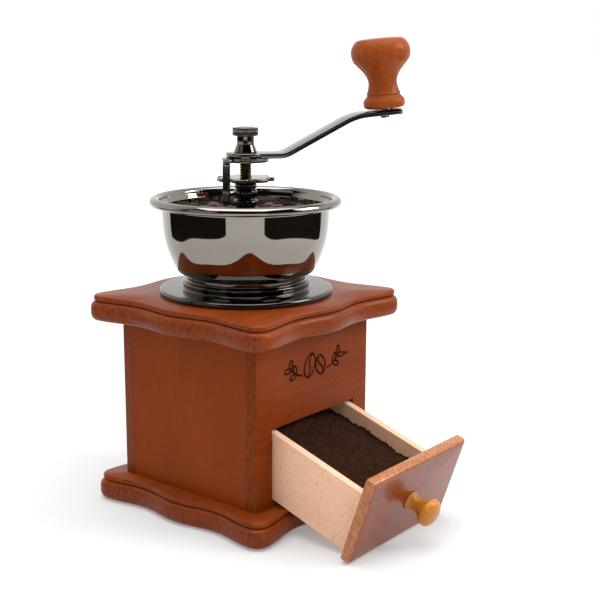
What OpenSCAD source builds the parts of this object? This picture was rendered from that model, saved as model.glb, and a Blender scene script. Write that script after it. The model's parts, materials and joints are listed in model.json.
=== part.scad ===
// Hand-cranked burr mill: wooden box with a drawer, a metal bowl and a cranked shaft.
// The origin is the centre of the underside, Z points up and the drawer opens towards -Y.
// Lengths are in mm and angles in degrees.

/* [Box] */
// Width and depth of the square box, without its mouldings
body_w = 100; // [80:1:140]
// Height of the four walls
body_h = 92.5; // [70:0.1:140]
// Thickness of the walls
wall_t = 7; // [5:0.5:10]
// Radius of the box's four upright edges
edge_r = 0.8; // [0.3:0.1:5]
// How far the base plate reaches beyond the walls
base_over = 13.6; // [6:0.1:18]
// How far the top plate reaches beyond the walls
top_over = 15.1; // [6:0.1:18]
// Thickness of the two moulded plates
plate_t = 14; // [9:0.1:18]
// Depth of the waves along each plate's edge
wave = 3.7; // [0:0.1:5]
// Radius of the plates' corners
plate_corner_r = 9; // [3.5:0.5:14]
// Thickness of the felt pad under the base
pad_t = 1; // [0.5:0.1:3]
// Side of the square glue blocks in the corners
block_w = 9; // [6:0.5:12]

/* [Drawer] */
// Outer width of the drawer's tray
tray_w = 71.6; // [50:0.1:100]
// Height of the tray
tray_h = 36; // [22:0.5:50]
// Length of the tray behind its front
tray_l = 81; // [60:0.5:110]
// Thickness of the tray's sides and back
tray_t = 4.6; // [3:0.1:7]
// Thickness of the tray's bottom
tray_floor_t = 3; // [2:0.1:5]
// Gap between the tray and each side of its opening
tray_gap = 1.2; // [0.4:0.1:3]
// Thickness of the drawer's front
front_t = 6; // [4:0.1:10]
// How far the front reaches past the tray at each side
front_side = 8.4; // [3:0.1:12]
// How far the front rises over the tray
front_up = 14.6; // [4:0.1:20]
// How far the front's lower edge stays above the tray's bottom
front_low = 0.6; // [0:0.1:4]
// How far the drawer is pulled out, along its own length
pull = 53.2; // [0:0.1:60]
// How far the pulled drawer tips down
tip = 18.4; // [5:0.1:22]
// Radius of the steel rod that the drawer rides on
sill_rod_r = 1.25; // [1:0.05:2]
// Height of the rod's centre over the base plate
sill_rod_h = 2.3; // [1.6:0.05:5]
// Height of the opening's top edge over the base plate
lintel_h = 43.6; // [28:0.1:60]
// Radius of the drawer knob's head
pull_knob_r = 7.8; // [5:0.1:12]
// Length of the drawer knob
pull_knob_l = 17; // [10:0.5:26]

/* [Bowl] */
// Radius of the flange on the top plate
flange_r = 49.4; // [40:0.1:60]
// Thickness of the flange
flange_t = 3.5; // [2:0.1:6]
// Radius of the step round the neck
neck_r = 36.6; // [30:0.1:44]
// Height of the neck over the flange
neck_h = 8; // [5:0.1:14]
// Radius of the bowl's rolled rim
rim_r = 54.3; // [46:0.1:64]
// Height of the bowl over the neck
bowl_h = 43.5; // [30:0.5:60]
// Thickness of the bowl's sheet
bowl_t = 1.6; // [1:0.1:3]
// Radius of the throat that the beans fall through
throat_r = 22; // [16:0.5:26]

/* [Mill] */
// Radius of the shaft
shaft_r = 3.4; // [2.5:0.1:5]
// Running gap between the shaft and what it turns in
run_gap = 0.06; // [0.02:0.01:0.1]
// Height of the bearing post's top over the flange
post_h = 59; // [50:0.5:72]
// Radius of the outer burr
burr_r = 31; // [28:0.5:36]
// Height of the outer burr
burr_h = 21.5; // [16:0.5:30]
// Gap between the two burrs, measured level
burr_gap = 0.8; // [0.5:0.05:1.6]
// How far the shaft can be raised or lowered
grind_travel = 0.8; // [0.2:0.1:1.5]
// Radius of the adjusting nut's lobes
star_r = 16.5; // [13:0.1:20]
// Thickness of the adjusting nut
star_t = 2; // [1.4:0.1:5]
// Number of lobes
star_lobes = 7; // [5:1:10]
// Width of the stop plate's leg
leg_w = 4.6; // [3:0.1:6]
// Length of the leg below the plate
leg_l = 23.4; // [12:0.1:26]
// Thickness of the stop plate
stop_t = 2; // [1:0.1:3]

/* [Crank] */
// Distance from the shaft to the crank's knob
crank_l = 80.4; // [60:0.1:120]
// Width of the arm
arm_w = 17; // [12:0.5:24]
// Thickness of the arm
arm_t = 3; // [2:0.1:5]
// Radius of the arm's round hub end
hub_r = 11; // [9:0.1:14]
// Distance from the shaft to the arm's first bend
bend_one = 21.5; // [18:0.5:30]
// Distance from the shaft to the arm's second bend
bend_two = 62; // [45:0.5:80]
// Rise of the arm between its bends
arm_rise = 21.6; // [10:0.1:35]
// Upward tilt of the arm's outer end
arm_tilt = 5.5; // [0:0.5:10]
// Direction of the arm seen from above
arm_turn = -39.6; // [-180:0.1:180]
// Height of the crank's knob
knob_h = 38.8; // [28:0.1:55]
// Largest radius of the crank's knob
knob_r = 16.7; // [12:0.1:22]
// Radius of the pin that the knob spins on
knob_pin_r = 2.6; // [2:0.1:4]

/* [Hidden] */
$fn = 72;

half = body_w / 2;
inner = half - wall_t;
base_top = pad_t + plate_t;
body_top = base_top + body_h;
lid_top = body_top + plate_t;

// moulded plates: [inset, height as a share of the thickness] up the edge
EDGE = [[1.9, 0], [0.7, 0.09], [0.1, 0.22], [0, 0.37], [0.1, 0.52], [0.7, 0.65], [1.9, 0.73],
    [3.3, 0.77], [2.3, 0.8], [1.9, 0.88], [2.1, 0.96], [2.7, 1]];
SIDE_STEPS = 16;
CORNER_STEPS = 5;

// drawer
slide_gap = 0.3;
rod_y = -half + 1.7;
rod_z = base_top + sill_rod_h;
tray_z = rod_z + sill_rod_r + slide_gap;
sill_top = rod_z + sill_rod_r * 0.66;
lintel_z = base_top + lintel_h;
opening_w = tray_w + 2 * tray_gap;
front_w = tray_w + 2 * front_side;
front_h = tray_h + front_up - front_low;
front_edge_r = 2.4;
rabbet = 1.5;
guide_h = 14;
base_screw_r = 1.7;
screw_at = (inner + opening_w / 2) / 2;
knob_screw_r = 1.5;
knob_z = tray_z + front_low + front_h / 2;
tray_back_y = -half + tray_l;
inset_floor = 1.2;

// bowl and mill
flange_top = lid_top + flange_t;
neck_top = flange_top + neck_h;
bowl_foot_r = neck_r - 5.8;
rim_top = neck_top + bowl_h;
post_top = flange_top + post_h;
post_r = 5.4;
bush_r = shaft_r + 1.3;
bridge_z = flange_top + 0.1;
bridge_r = 29;
bridge_t = 3.2;
bolt_ring_r = 26.2;
bolt_r = 2;
bolt_l = 30;
burr_low = body_top - burr_h;
cone_low_r = 20.6;
cone_slope = 0.3;
cone_mid = 7;
cone_h = 18.5;
cone_top_r = 9;
washer_t = 1;
star_z = post_top + washer_t + slide_gap;
stop_r = 13.2;
leg_r = star_r - 0.3;
leg_turn = 180.4;
stop_z = post_top + 12;
arm_z = stop_z + stop_t;
spring_r = 6;
spring_wire = 0.6;
spring_turns = 5;

// crank: the arm's middle line in its own upright plane
slope = atan(arm_rise / (bend_two - bend_one));
arm_end = crank_l + 9.6;
bend_two_z = arm_z + arm_t / 2 + arm_rise;
seat = arm_t / 2;
knob_base = seat + 1;
knob_low_z = bend_two_z + (crank_l - bend_two) * tan(arm_tilt);

function wave_in(u, flat) = wave * (1 - cos(360 * u / flat)) / 2;
function side_points(h, flat, inset) = [for (i = [0:SIDE_STEPS - 1])
    let (u = flat * (2 * i / SIDE_STEPS - 1)) [u, -(h - inset - wave_in(u, flat))]];
function corner_points(h, flat, inset) = [for (i = [0:CORNER_STEPS - 1])
    let (a = -90 + 90 * i / CORNER_STEPS, r = plate_corner_r - inset)
    [flat + r * cos(a), -flat + r * sin(a)]];
function turned(p, a) = [p[0] * cos(a) - p[1] * sin(a), p[0] * sin(a) + p[1] * cos(a)];
function plate_ring(h, inset) = let (flat = h - plate_corner_r)
    [for (k = [0:3], p = concat(side_points(h, flat, inset), corner_points(h, flat, inset)))
        turned(p, 90 * k)];

// a plate with a moulded, wavy edge, standing on z = 0
module moulded_plate(h) {
    n = 4 * (SIDE_STEPS + CORNER_STEPS);
    m = len(EDGE);
    rings = [for (e = EDGE, p = plate_ring(h, e[0])) [p[0], p[1], plate_t * e[1]]];
    points = concat(rings, [[0, 0, 0], [0, 0, plate_t]]);
    sides = [for (j = [0:m - 2], i = [0:n - 1], s = [0, 1])
        let (a = j * n + i, b = j * n + (i + 1) % n)
        s == 0 ? [a, b + n, b] : [a, a + n, b + n]];
    low = [for (i = [0:n - 1]) [n * m, i, (i + 1) % n]];
    high = [for (i = [0:n - 1]) [n * m + 1, (m - 1) * n + (i + 1) % n, (m - 1) * n + i]];
    polyhedron(points = points, faces = concat(sides, low, high));
}

module ring(outer, bore, h, z = 0) {
    translate([0, 0, z]) difference() {
        cylinder(r = outer, h = h);
        translate([0, 0, -1]) cylinder(r = bore, h = h + 2);
    }
}

// four copies in the box's corners
module at_corners(d) {
    for (x = [-1, 1], y = [-1, 1]) translate([x * d, y * d, 0]) children();
}

// puts a drawer part, drawn closed and level, into its pulled and tipped place
module pulled() {
    translate([0, rod_y, rod_z]) rotate([tip, 0, 0]) translate([0, -rod_y, -rod_z])
        translate([0, -pull, 0]) children();
}

// puts a part drawn on the arm's outer flat into its place over the box
module on_arm_end() {
    rotate([0, 0, arm_turn]) translate([crank_l, 0, knob_low_z]) rotate([0, -arm_tilt, 0])
        children();
}

module base_pad() {
    color([0.16, 0.13, 0.11]) translate([-half - 4, -half - 4, 0])
        cube([body_w + 8, body_w + 8, pad_t]);
}

module base_plate() {
    color([0.55, 0.27, 0.13]) translate([0, 0, pad_t]) difference() {
        moulded_plate(half + base_over);
        at_corners(screw_at) {
            translate([0, 0, -1]) cylinder(r = base_screw_r + 0.3, h = plate_t + 2, $fn = 24);
            translate([0, 0, -1]) cylinder(r = base_screw_r * 2.2, h = 4.2, $fn = 24);
        }
    }
}

module top_plate() {
    color([0.55, 0.27, 0.13]) translate([0, 0, body_top]) difference() {
        moulded_plate(half + top_over);
        translate([0, 0, -1]) cylinder(r = throat_r + 0.5, h = plate_t + 2);
        for (a = [0:120:240]) rotate([0, 0, a + 60]) translate([bolt_ring_r, 0, -1])
            cylinder(r = bolt_r + 0.2, h = plate_t + 2, $fn = 24);
    }
}

module side_panel() {
    translate([-half, -inner, base_top]) cube([wall_t, 2 * inner, body_h]);
}

module left_panel() {
    color([0.48, 0.23, 0.11]) side_panel();
}

module right_panel() {
    color([0.48, 0.23, 0.11]) rotate([0, 0, 180]) side_panel();
}

// a full-width wall with its two outer upright edges rounded
module end_panel() {
    translate([0, 0, base_top]) linear_extrude(height = body_h) union() {
        translate([-half, -half + edge_r]) square([body_w, wall_t - edge_r]);
        translate([-half + edge_r, -half]) square([body_w - 2 * edge_r, edge_r + 0.01]);
        for (x = [-1, 1]) translate([x * (half - edge_r), -half + edge_r]) circle(r = edge_r);
    }
}

module back_panel() {
    color([0.5, 0.24, 0.12]) rotate([0, 0, 180]) end_panel();
}

module front_panel() {
    color([0.58, 0.3, 0.16]) difference() {
        end_panel();
        translate([-opening_w / 2, -half - 1, sill_top])
            cube([opening_w, wall_t + 2, lintel_z - sill_top]);
        // the lintel's inner edge is bevelled, so that the tipped tray clears it
        translate([-opening_w / 2, -inner - 3, lintel_z]) rotate([45, 0, 0])
            translate([0, 0, -4]) cube([opening_w, 6, 4]);
        // groove for the rod
        translate([-opening_w / 2, rod_y - sill_rod_r - run_gap, rod_z - sill_rod_r - run_gap])
            cube([opening_w, 2 * (sill_rod_r + run_gap), 3 * sill_rod_r]);
    }
}

module corner_blocks() {
    color([0.8, 0.66, 0.48]) at_corners(inner - block_w / 2)
        translate([-block_w / 2, -block_w / 2, lintel_z + 8])
            cube([block_w, block_w, body_top - lintel_z - 8]);
}

// on each side a low strip that carries the tray and a taller one that guides it
module drawer_runners() {
    guide = inner - opening_w / 2;
    color([0.8, 0.66, 0.48]) difference() {
        for (x = [-1, 1]) {
            translate([x * (opening_w / 2 - 3.9) - 4, -inner, base_top])
                cube([8, 2 * inner, sill_top - base_top]);
            translate([x * (inner - guide / 2) - guide / 2, -inner, base_top])
                cube([guide, 2 * inner, guide_h]);
        }
        at_corners(screw_at) translate([0, 0, base_top - 1])
            cylinder(r = base_screw_r, h = guide_h, $fn = 24);
    }
}

module drawer_sill_rod() {
    color([0.6, 0.6, 0.62]) translate([-opening_w / 2 + 0.4, rod_y, rod_z]) rotate([0, 90, 0])
        cylinder(r = sill_rod_r, h = opening_w - 0.8);
}

module base_screws() {
    color([0.7, 0.6, 0.35]) at_corners(screw_at) {
        translate([0, 0, pad_t + 0.6]) cylinder(r = base_screw_r * 2, h = 2.6, $fn = 24);
        translate([0, 0, pad_t + 0.6])
            cylinder(r = base_screw_r, h = plate_t + guide_h - 3.6, $fn = 24);
    }
}

module flange() {
    color([0.32, 0.31, 0.31]) difference() {
        translate([0, 0, lid_top]) rotate_extrude() polygon([
            [throat_r, 0], [flange_r, 0], [flange_r, flange_t - 0.7], [flange_r - 0.7, flange_t],
            [neck_r + 3, flange_t + 0.2], [neck_r + 1.2, flange_t + 0.7],
            [neck_r + 0.2, flange_t + 1.8], [neck_r, flange_t + 2.4], [neck_r, flange_t + 3.8],
            [neck_r - 0.6, flange_t + 4.3], [neck_r - 2, flange_t + 4.5],
            [neck_r - 2, flange_t + neck_h], [bowl_foot_r + 0.2, flange_t + neck_h],
            [bowl_foot_r + 0.2, flange_t], [throat_r, flange_t]]);
        for (a = [0:120:240]) rotate([0, 0, a + 60]) translate([bolt_ring_r, 0, lid_top - 1])
            cylinder(r = bolt_r + 0.2, h = flange_t + 2, $fn = 24);
    }
}

// the bowl's outer wall from its neck to under the rim: [share of radius, share of height]
WALL = [[0.655, 0.005], [0.7, 0.03], [0.735, 0.085], [0.768, 0.17], [0.8, 0.265], [0.828, 0.37],
    [0.85, 0.48], [0.863, 0.59], [0.87, 0.7], [0.874, 0.8], [0.878, 0.88]];

module bowl() {
    roll = rim_r * 0.053;
    color([0.38, 0.37, 0.37]) translate([0, 0, neck_top]) rotate_extrude() polygon(concat(
        [[bowl_foot_r, -neck_h + 0.1], [bowl_foot_r, 0.1], [neck_r - 2, 0.1]],
        [for (p = WALL) [p[0] * rim_r, p[1] * bowl_h]],
        [[rim_r - 1.4, bowl_h - 4.6], [rim_r - 0.4, bowl_h - 3.9], [rim_r, bowl_h - 2.8],
            [rim_r - 0.3, bowl_h - 1.6], [rim_r - 1.1, bowl_h - 0.6], [rim_r - 2.5, bowl_h],
            [rim_r - 3.6, bowl_h], [rim_r - 5, bowl_h - 0.6], [rim_r - 5.8, bowl_h - 1.6],
            [rim_r - 6.1, bowl_h - 3]],
        [for (i = [len(WALL) - 1:-1:1]) [WALL[i][0] * rim_r - bowl_t, WALL[i][1] * bowl_h + 0.3]],
        [[bowl_foot_r - bowl_t, 0.3 - bowl_t / 2], [bowl_foot_r - bowl_t, -neck_h + 0.1]]));
}

module outer_burr() {
    color([0.3, 0.3, 0.31]) difference() {
        translate([0, 0, burr_low]) rotate_extrude() polygon([
            [cone_low_r + burr_gap, 0], [burr_r - 3, 0], [burr_r, 3], [burr_r, burr_h],
            [throat_r, burr_h], [throat_r - 1.2, burr_h - 6],
            [cone_low_r + burr_gap - cone_slope * cone_mid, cone_mid]]);
        for (a = [0:120:240]) rotate([0, 0, a + 60]) translate([bolt_ring_r, 0, body_top - 14])
            cylinder(r = bolt_r, h = 15, $fn = 24);
        for (a = [0:24:359]) rotate([0, 0, a]) translate([throat_r - 4, -0.6, burr_low + cone_mid + 3])
            cube([4.6, 1.2, burr_h]);
    }
}

module bearing_post() {
    color([0.12, 0.12, 0.13]) difference() {
        union() {
            translate([0, 0, bridge_z]) rotate_extrude() polygon([
                [bush_r, 0], [8, 0], [8, bridge_t + 2], [post_r + 0.6, bridge_t + 7],
                [post_r, bridge_t + 9], [post_r, post_h - 13.2], [6.9, post_h - 12.2],
                [6.9, post_h - 9.8], [5.5, post_h - 8.9], [5.5, post_h - 8.3],
                [6.5, post_h - 7.4], [6.5, post_h - 4.2], [5.6, post_h - 3.3],
                [5.6, post_h - 2.8], [6.2, post_h - 2.3], [6.2, post_h - 0.6],
                [5.7, post_h - 0.1], [bush_r, post_h - 0.1]]);
            ring(bridge_r, throat_r + 0.5, bridge_t, bridge_z);
            for (a = [0:120:240]) rotate([0, 0, a]) translate([7, -3, bridge_z])
                cube([throat_r - 5, 6, bridge_t]);
        }
        for (a = [0:120:240]) rotate([0, 0, a + 60]) translate([bolt_ring_r, 0, bridge_z - 1])
            cylinder(r = bolt_r + 0.2, h = bridge_t + 2, $fn = 24);
    }
}

module bearing_bushes() {
    color([0.72, 0.55, 0.28]) {
        ring(bush_r, shaft_r + run_gap, 14, bridge_z);
        ring(bush_r, shaft_r + run_gap, 14, post_top - 14);
    }
}

module burr_bolts() {
    color([0.55, 0.55, 0.57]) for (a = [0:120:240]) rotate([0, 0, a + 60])
        translate([bolt_ring_r, 0, bridge_z + bridge_t]) difference() {
            union() {
                cylinder(r = 2.7, h = 2, $fn = 24);
                translate([0, 0, -bolt_l + 2]) cylinder(r = bolt_r - 0.02, h = bolt_l, $fn = 24);
            }
            translate([-4, -0.5, 1.2]) cube([8, 1, 2]);
        }
}

module thrust_washer() {
    color([0.42, 0.41, 0.4]) ring(6.2, shaft_r + 0.4, washer_t, post_top);
}

module adjusting_nut() {
    spacing = 360 / star_lobes;
    color([0.42, 0.41, 0.4]) translate([0, 0, star_z]) difference() {
        cylinder(r = star_r, h = star_t);
        translate([0, 0, -1]) cylinder(r = shaft_r + run_gap, h = star_t + 2);
        for (i = [0:star_lobes - 1]) rotate([0, 0, leg_turn + i * spacing])
            translate([star_r + 1.2, 0, -1]) cylinder(r = leg_w / 2 + 1.9, h = star_t + 2);
    }
}

module shaft() {
    color([0.5, 0.42, 0.28]) translate([0, 0, burr_low - 5])
        cylinder(r = shaft_r, h = arm_z + arm_t + 8 - burr_low + 5);
}

module inner_burr() {
    color([0.3, 0.3, 0.31]) difference() {
        translate([0, 0, burr_low]) rotate_extrude() polygon([
            [shaft_r, 0], [cone_low_r - 1, 0], [cone_low_r, 0.6],
            [cone_low_r - cone_slope * cone_mid, cone_mid], [cone_top_r, cone_h],
            [shaft_r, cone_h]]);
        for (a = [0:30:359]) rotate([0, 0, a]) translate([cone_low_r - 2.6, 0, burr_low + cone_mid])
            rotate([0, -48, 0]) translate([-1.2, -0.7, -1]) cube([4, 1.4, 20]);
    }
}

module burr_nut() {
    color([0.55, 0.55, 0.57]) translate([0, 0, burr_low - 4.2]) difference() {
        cylinder(r = 6.4, h = 4.2, $fn = 6);
        translate([0, 0, -1]) cylinder(r = shaft_r, h = 7);
    }
}

// one coil, swept round the shaft between the inner burr and the bridge
module burr_spring() {
    low = burr_low + cone_h + spring_wire;
    rise = bridge_z - low - spring_wire;
    steps = 14 * spring_turns;
    sides = 6;
    points = [for (i = [0:steps], k = [0:sides - 1])
        let (a = 360 * spring_turns * i / steps, b = 360 * k / sides,
            r = spring_r + spring_wire * cos(b))
        [r * cos(a), r * sin(a), low + rise * i / steps + spring_wire * sin(b)]];
    skin = [for (i = [0:steps - 1], k = [0:sides - 1])
        let (p = i * sides + k, q = i * sides + (k + 1) % sides) [p, p + sides, q + sides, q]];
    ends = [[for (k = [0:sides - 1]) k],
        [for (k = [sides - 1:-1:0]) steps * sides + k]];
    color([0.6, 0.6, 0.62]) polyhedron(points = points, faces = concat(skin, ends));
}

module stop_plate() {
    leg_t = stop_t * 0.8;
    color([0.5, 0.49, 0.48]) rotate([0, 0, leg_turn]) difference() {
        union() {
            translate([0, 0, stop_z]) cylinder(r = stop_r, h = stop_t);
            translate([0, -leg_w / 2, stop_z]) cube([leg_r + leg_t / 2, leg_w, stop_t]);
            translate([leg_r - leg_t / 2, -leg_w / 2, stop_z - leg_l])
                cube([leg_t, leg_w, leg_l + 0.5]);
        }
        translate([0, 0, stop_z - 1]) cylinder(r = shaft_r, h = stop_t + 2);
    }
}

// the arm seen from the side, as an outline of even thickness
module arm_side() {
    t = arm_t / 2;
    a = slope / 2;
    b = (slope - arm_tilt) / 2;
    mid = [[-hub_r, 0], [bend_one, 0], [bend_two, arm_rise],
        [arm_end, arm_rise + (arm_end - bend_two) * tan(arm_tilt)]];
    polygon([mid[0] + [0, -t], mid[1] + [t * tan(a), -t],
        mid[2] + t / cos(b) * [sin((slope + arm_tilt) / 2), -cos((slope + arm_tilt) / 2)],
        mid[3] + t * [sin(arm_tilt), -cos(arm_tilt)], mid[3] + t * [-sin(arm_tilt), cos(arm_tilt)],
        mid[2] - t / cos(b) * [sin((slope + arm_tilt) / 2), -cos((slope + arm_tilt) / 2)],
        mid[1] + [-t * tan(a), t], mid[0] + [0, t]]);
}

module crank_arm() {
    color([0.42, 0.41, 0.4]) difference() {
        rotate([0, 0, arm_turn]) intersection() {
            translate([0, 50, arm_z + arm_t / 2]) rotate([90, 0, 0])
                linear_extrude(height = 100) arm_side();
            translate([0, 0, arm_z - 5]) linear_extrude(height = arm_rise + 40) union() {
                circle(r = hub_r);
                translate([0, -arm_w / 2]) square([arm_end - 3, arm_w]);
                translate([0, -arm_w / 2 + 3]) square([arm_end + 5, arm_w - 6]);
                for (y = [-1, 1]) translate([arm_end - 3.1, y * (arm_w / 2 - 3)]) circle(r = 3);
            }
        }
        translate([0, 0, arm_z - 1]) cylinder(r = shaft_r, h = arm_t + 2);
        on_arm_end() translate([0, 0, -seat - 1]) cylinder(r = knob_pin_r - 0.8, h = arm_t + 2);
    }
}

module thumb_nut() {
    z = arm_z + arm_t;
    color([0.36, 0.35, 0.35]) difference() {
        translate([0, 0, z]) rotate_extrude() polygon([
            [shaft_r, 0], [6.5, 0], [6.5, 0.5], [4.95, 4.5], [4.95, 9.3], [6.8, 9.4],
            [7.3, 9.9], [7.3, 13.6], [6.8, 14.1], [0, 14.1], [0, 8.2], [shaft_r, 8.2]]);
        for (a = [0:15:359]) rotate([0, 0, a]) translate([7.5, 0, z + 9])
            cylinder(r = 0.45, h = 6, $fn = 8);
    }
}

module knob_pin() {
    color([0.5, 0.49, 0.48]) on_arm_end() {
        translate([0, 0, -seat - 1.5]) cylinder(r = knob_pin_r, h = 1.5);
        translate([0, 0, -seat - 0.5]) cylinder(r = knob_pin_r - 0.8, h = arm_t + 1);
        translate([0, 0, seat]) cylinder(r = knob_pin_r, h = knob_h - 7);
        translate([0, 0, seat + knob_h - 7]) cylinder(r = knob_pin_r + 1.2, h = 1.4);
    }
}

module knob_washer() {
    color([0.5, 0.49, 0.48]) on_arm_end()
        ring(knob_pin_r + 3.4, knob_pin_r, 0.7, seat);
}

module crank_knob() {
    color([0.66, 0.33, 0.15]) on_arm_end() translate([0, 0, knob_base]) difference() {
        rotate_extrude() polygon([
            [knob_pin_r + run_gap, 0], [knob_r * 0.62, 0], [knob_r * 0.69, 0.9],
            [knob_r * 0.71, 2.8], [knob_r * 0.69, 4.6], [knob_r * 0.6, 6.4],
            [knob_r * 0.555, 7.4], [knob_r * 0.58, 7.9], [knob_r * 0.52, 10.5],
            [knob_r * 0.485, 14], [knob_r * 0.52, 17], [knob_r * 0.62, 20],
            [knob_r * 0.76, 22.8], [knob_r * 0.84, 24.2], [knob_r * 0.86, 24.6],
            [knob_r * 0.93, 26], [knob_r * 0.985, 28.5], [knob_r, 31],
            [knob_r * 0.985, 33], [knob_r * 0.93, 35.2], [knob_r * 0.86, 36.8],
            [knob_r * 0.8, knob_h - 1.2], [knob_r * 0.7, knob_h - 0.5],
            [knob_r * 0.45, knob_h - 0.15], [0, knob_h],
            [0, knob_h - 2.6], [knob_pin_r + 1.6, knob_h - 2.6],
            [knob_pin_r + 1.6, knob_h - 8.5], [knob_pin_r + run_gap, knob_h - 8.5]]);
    }
}

// the drawer's front seen from the side, with both outer edges rounded
module front_side_view() {
    union() {
        translate([0, 0]) square([front_t - front_edge_r, front_h]);
        translate([0, front_edge_r]) square([front_t, front_h - 2 * front_edge_r]);
        for (y = [front_edge_r, front_h - front_edge_r])
            translate([front_t - front_edge_r, y]) circle(r = front_edge_r);
    }
}

module drawer_front() {
    color([0.62, 0.34, 0.2]) pulled() difference() {
        translate([-front_w / 2, -half, tray_z + front_low]) rotate([0, 0, -90])
            rotate([90, 0, 0]) mirror([0, 0, 1]) linear_extrude(height = front_w) front_side_view();
        // the four side edges are bevelled
        for (x = [-1, 1]) translate([x * front_w / 2, -half - front_t, tray_z])
            rotate([0, 0, 45]) translate([-1.1, -1.1, -5]) cube([2.2, 2.2, front_h + 20]);
        // rabbet that takes the tray's bottom
        translate([-tray_w / 2 + tray_t - inset_floor, -half - rabbet, tray_z + inset_floor])
            cube([tray_w - 2 * tray_t + 2 * inset_floor, rabbet + 1, tray_floor_t]);
        translate([0, -half - front_t - 1, knob_z]) rotate([-90, 0, 0])
            cylinder(r = knob_screw_r, h = front_t + 2);
    }
}

module tray_side() {
    difference() {
        translate([-tray_w / 2, -half, tray_z]) cube([tray_t, tray_l, tray_h]);
        translate([-tray_w / 2 + tray_t - inset_floor, -half - 1, tray_z + inset_floor])
            cube([inset_floor + 1, tray_l + 2, tray_floor_t]);
    }
}

module drawer_left_side() {
    color([0.9, 0.74, 0.6]) pulled() tray_side();
}

module drawer_right_side() {
    color([0.9, 0.74, 0.6]) pulled() mirror([1, 0, 0]) tray_side();
}

module drawer_back() {
    low = tray_z + inset_floor + tray_floor_t;
    color([0.9, 0.74, 0.6]) pulled() translate([-tray_w / 2 + tray_t, tray_back_y - tray_t, low])
        cube([tray_w - 2 * tray_t, tray_t, tray_h - inset_floor - tray_floor_t]);
}

module drawer_bottom() {
    color([0.86, 0.7, 0.54]) pulled()
        translate([-tray_w / 2 + tray_t - inset_floor, -half - rabbet, tray_z + inset_floor])
            cube([tray_w - 2 * tray_t + 2 * inset_floor, tray_l + rabbet, tray_floor_t]);
}

module drawer_knob() {
    l = pull_knob_l;
    color([0.8, 0.53, 0.2]) pulled() translate([0, -half - front_t, knob_z]) rotate([90, 0, 0])
        rotate_extrude() polygon([
            [knob_screw_r, 0], [pull_knob_r * 0.66, 0], [pull_knob_r * 0.68, 0.8],
            [pull_knob_r * 0.54, 2.2], [pull_knob_r * 0.48, 4], [pull_knob_r * 0.5, 6],
            [pull_knob_r * 0.64, 8.2], [pull_knob_r * 0.88, 10.2], [pull_knob_r * 0.99, l - 5.4],
            [pull_knob_r, l - 4.4], [pull_knob_r * 0.96, l - 3], [pull_knob_r * 0.84, l - 1.7],
            [pull_knob_r * 0.6, l - 0.7], [pull_knob_r * 0.3, l - 0.15], [0, l],
            [0, l - 5], [knob_screw_r, l - 5]]);
}

module drawer_knob_screw() {
    color([0.7, 0.6, 0.35]) pulled() translate([0, -half, knob_z]) rotate([90, 0, 0]) union() {
        cylinder(r = knob_screw_r, h = front_t + pull_knob_l - 5);
        translate([0, 0, -1.8]) cylinder(r = 3.2, h = 1.8);
    }
}

base_pad();
base_plate();
left_panel();
right_panel();
back_panel();
front_panel();
corner_blocks();
drawer_runners();
drawer_sill_rod();
base_screws();
top_plate();
flange();
bowl();
outer_burr();
bearing_post();
bearing_bushes();
burr_bolts();
thrust_washer();
adjusting_nut();
shaft();
inner_burr();
burr_nut();
burr_spring();
stop_plate();
crank_arm();
thumb_nut();
knob_pin();
knob_washer();
crank_knob();
drawer_front();
drawer_left_side();
drawer_right_side();
drawer_back();
drawer_bottom();
drawer_knob();
drawer_knob_screw();
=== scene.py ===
import json
import math
import bmesh
import bpy
import numpy as np
from mathutils import Matrix, Vector


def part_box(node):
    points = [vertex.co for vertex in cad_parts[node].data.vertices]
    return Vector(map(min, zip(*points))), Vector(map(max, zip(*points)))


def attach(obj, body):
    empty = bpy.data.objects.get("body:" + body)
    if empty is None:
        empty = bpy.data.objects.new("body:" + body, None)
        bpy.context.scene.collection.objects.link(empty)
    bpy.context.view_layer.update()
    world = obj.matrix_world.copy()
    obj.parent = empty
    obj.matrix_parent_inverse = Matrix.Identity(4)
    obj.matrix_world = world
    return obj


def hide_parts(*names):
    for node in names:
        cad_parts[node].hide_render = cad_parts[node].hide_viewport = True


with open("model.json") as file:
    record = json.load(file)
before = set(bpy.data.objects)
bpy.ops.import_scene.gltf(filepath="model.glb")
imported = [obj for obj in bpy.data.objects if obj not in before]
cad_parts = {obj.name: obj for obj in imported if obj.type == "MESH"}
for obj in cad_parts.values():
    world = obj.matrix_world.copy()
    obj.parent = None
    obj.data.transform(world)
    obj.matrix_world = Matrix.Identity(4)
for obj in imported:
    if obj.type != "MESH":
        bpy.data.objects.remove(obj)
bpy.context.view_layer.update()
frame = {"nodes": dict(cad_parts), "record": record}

MM = 0.001

# ---------------------------------------------------------------- frame

RECORD = frame["record"]
JOINTS = {j["name"]: j for j in RECORD["behaviour"]["joints"]}


def low(node):
    """The low corner of a node's box, in metres."""
    return np.array(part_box(node)[0])


def high(node):
    """The high corner of a node's box, in metres."""
    return np.array(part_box(node)[1])


# the tipped drawer: its own closed, level frame, turned and slid into place
SLIDE = JOINTS["drawer_slide"]
TIP = math.atan2(SLIDE["axis"][2], SLIDE["axis"][1])
PULL = SLIDE["range_m"][1]
ROD = Vector(JOINTS["drawer_tip"]["pos_m"])
DRAWER = (
    Matrix.Translation(ROD)
    @ Matrix.Rotation(TIP, 4, "X")
    @ Matrix.Translation(-ROD)
    @ Matrix.Translation((0, -PULL, 0))
)

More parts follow.
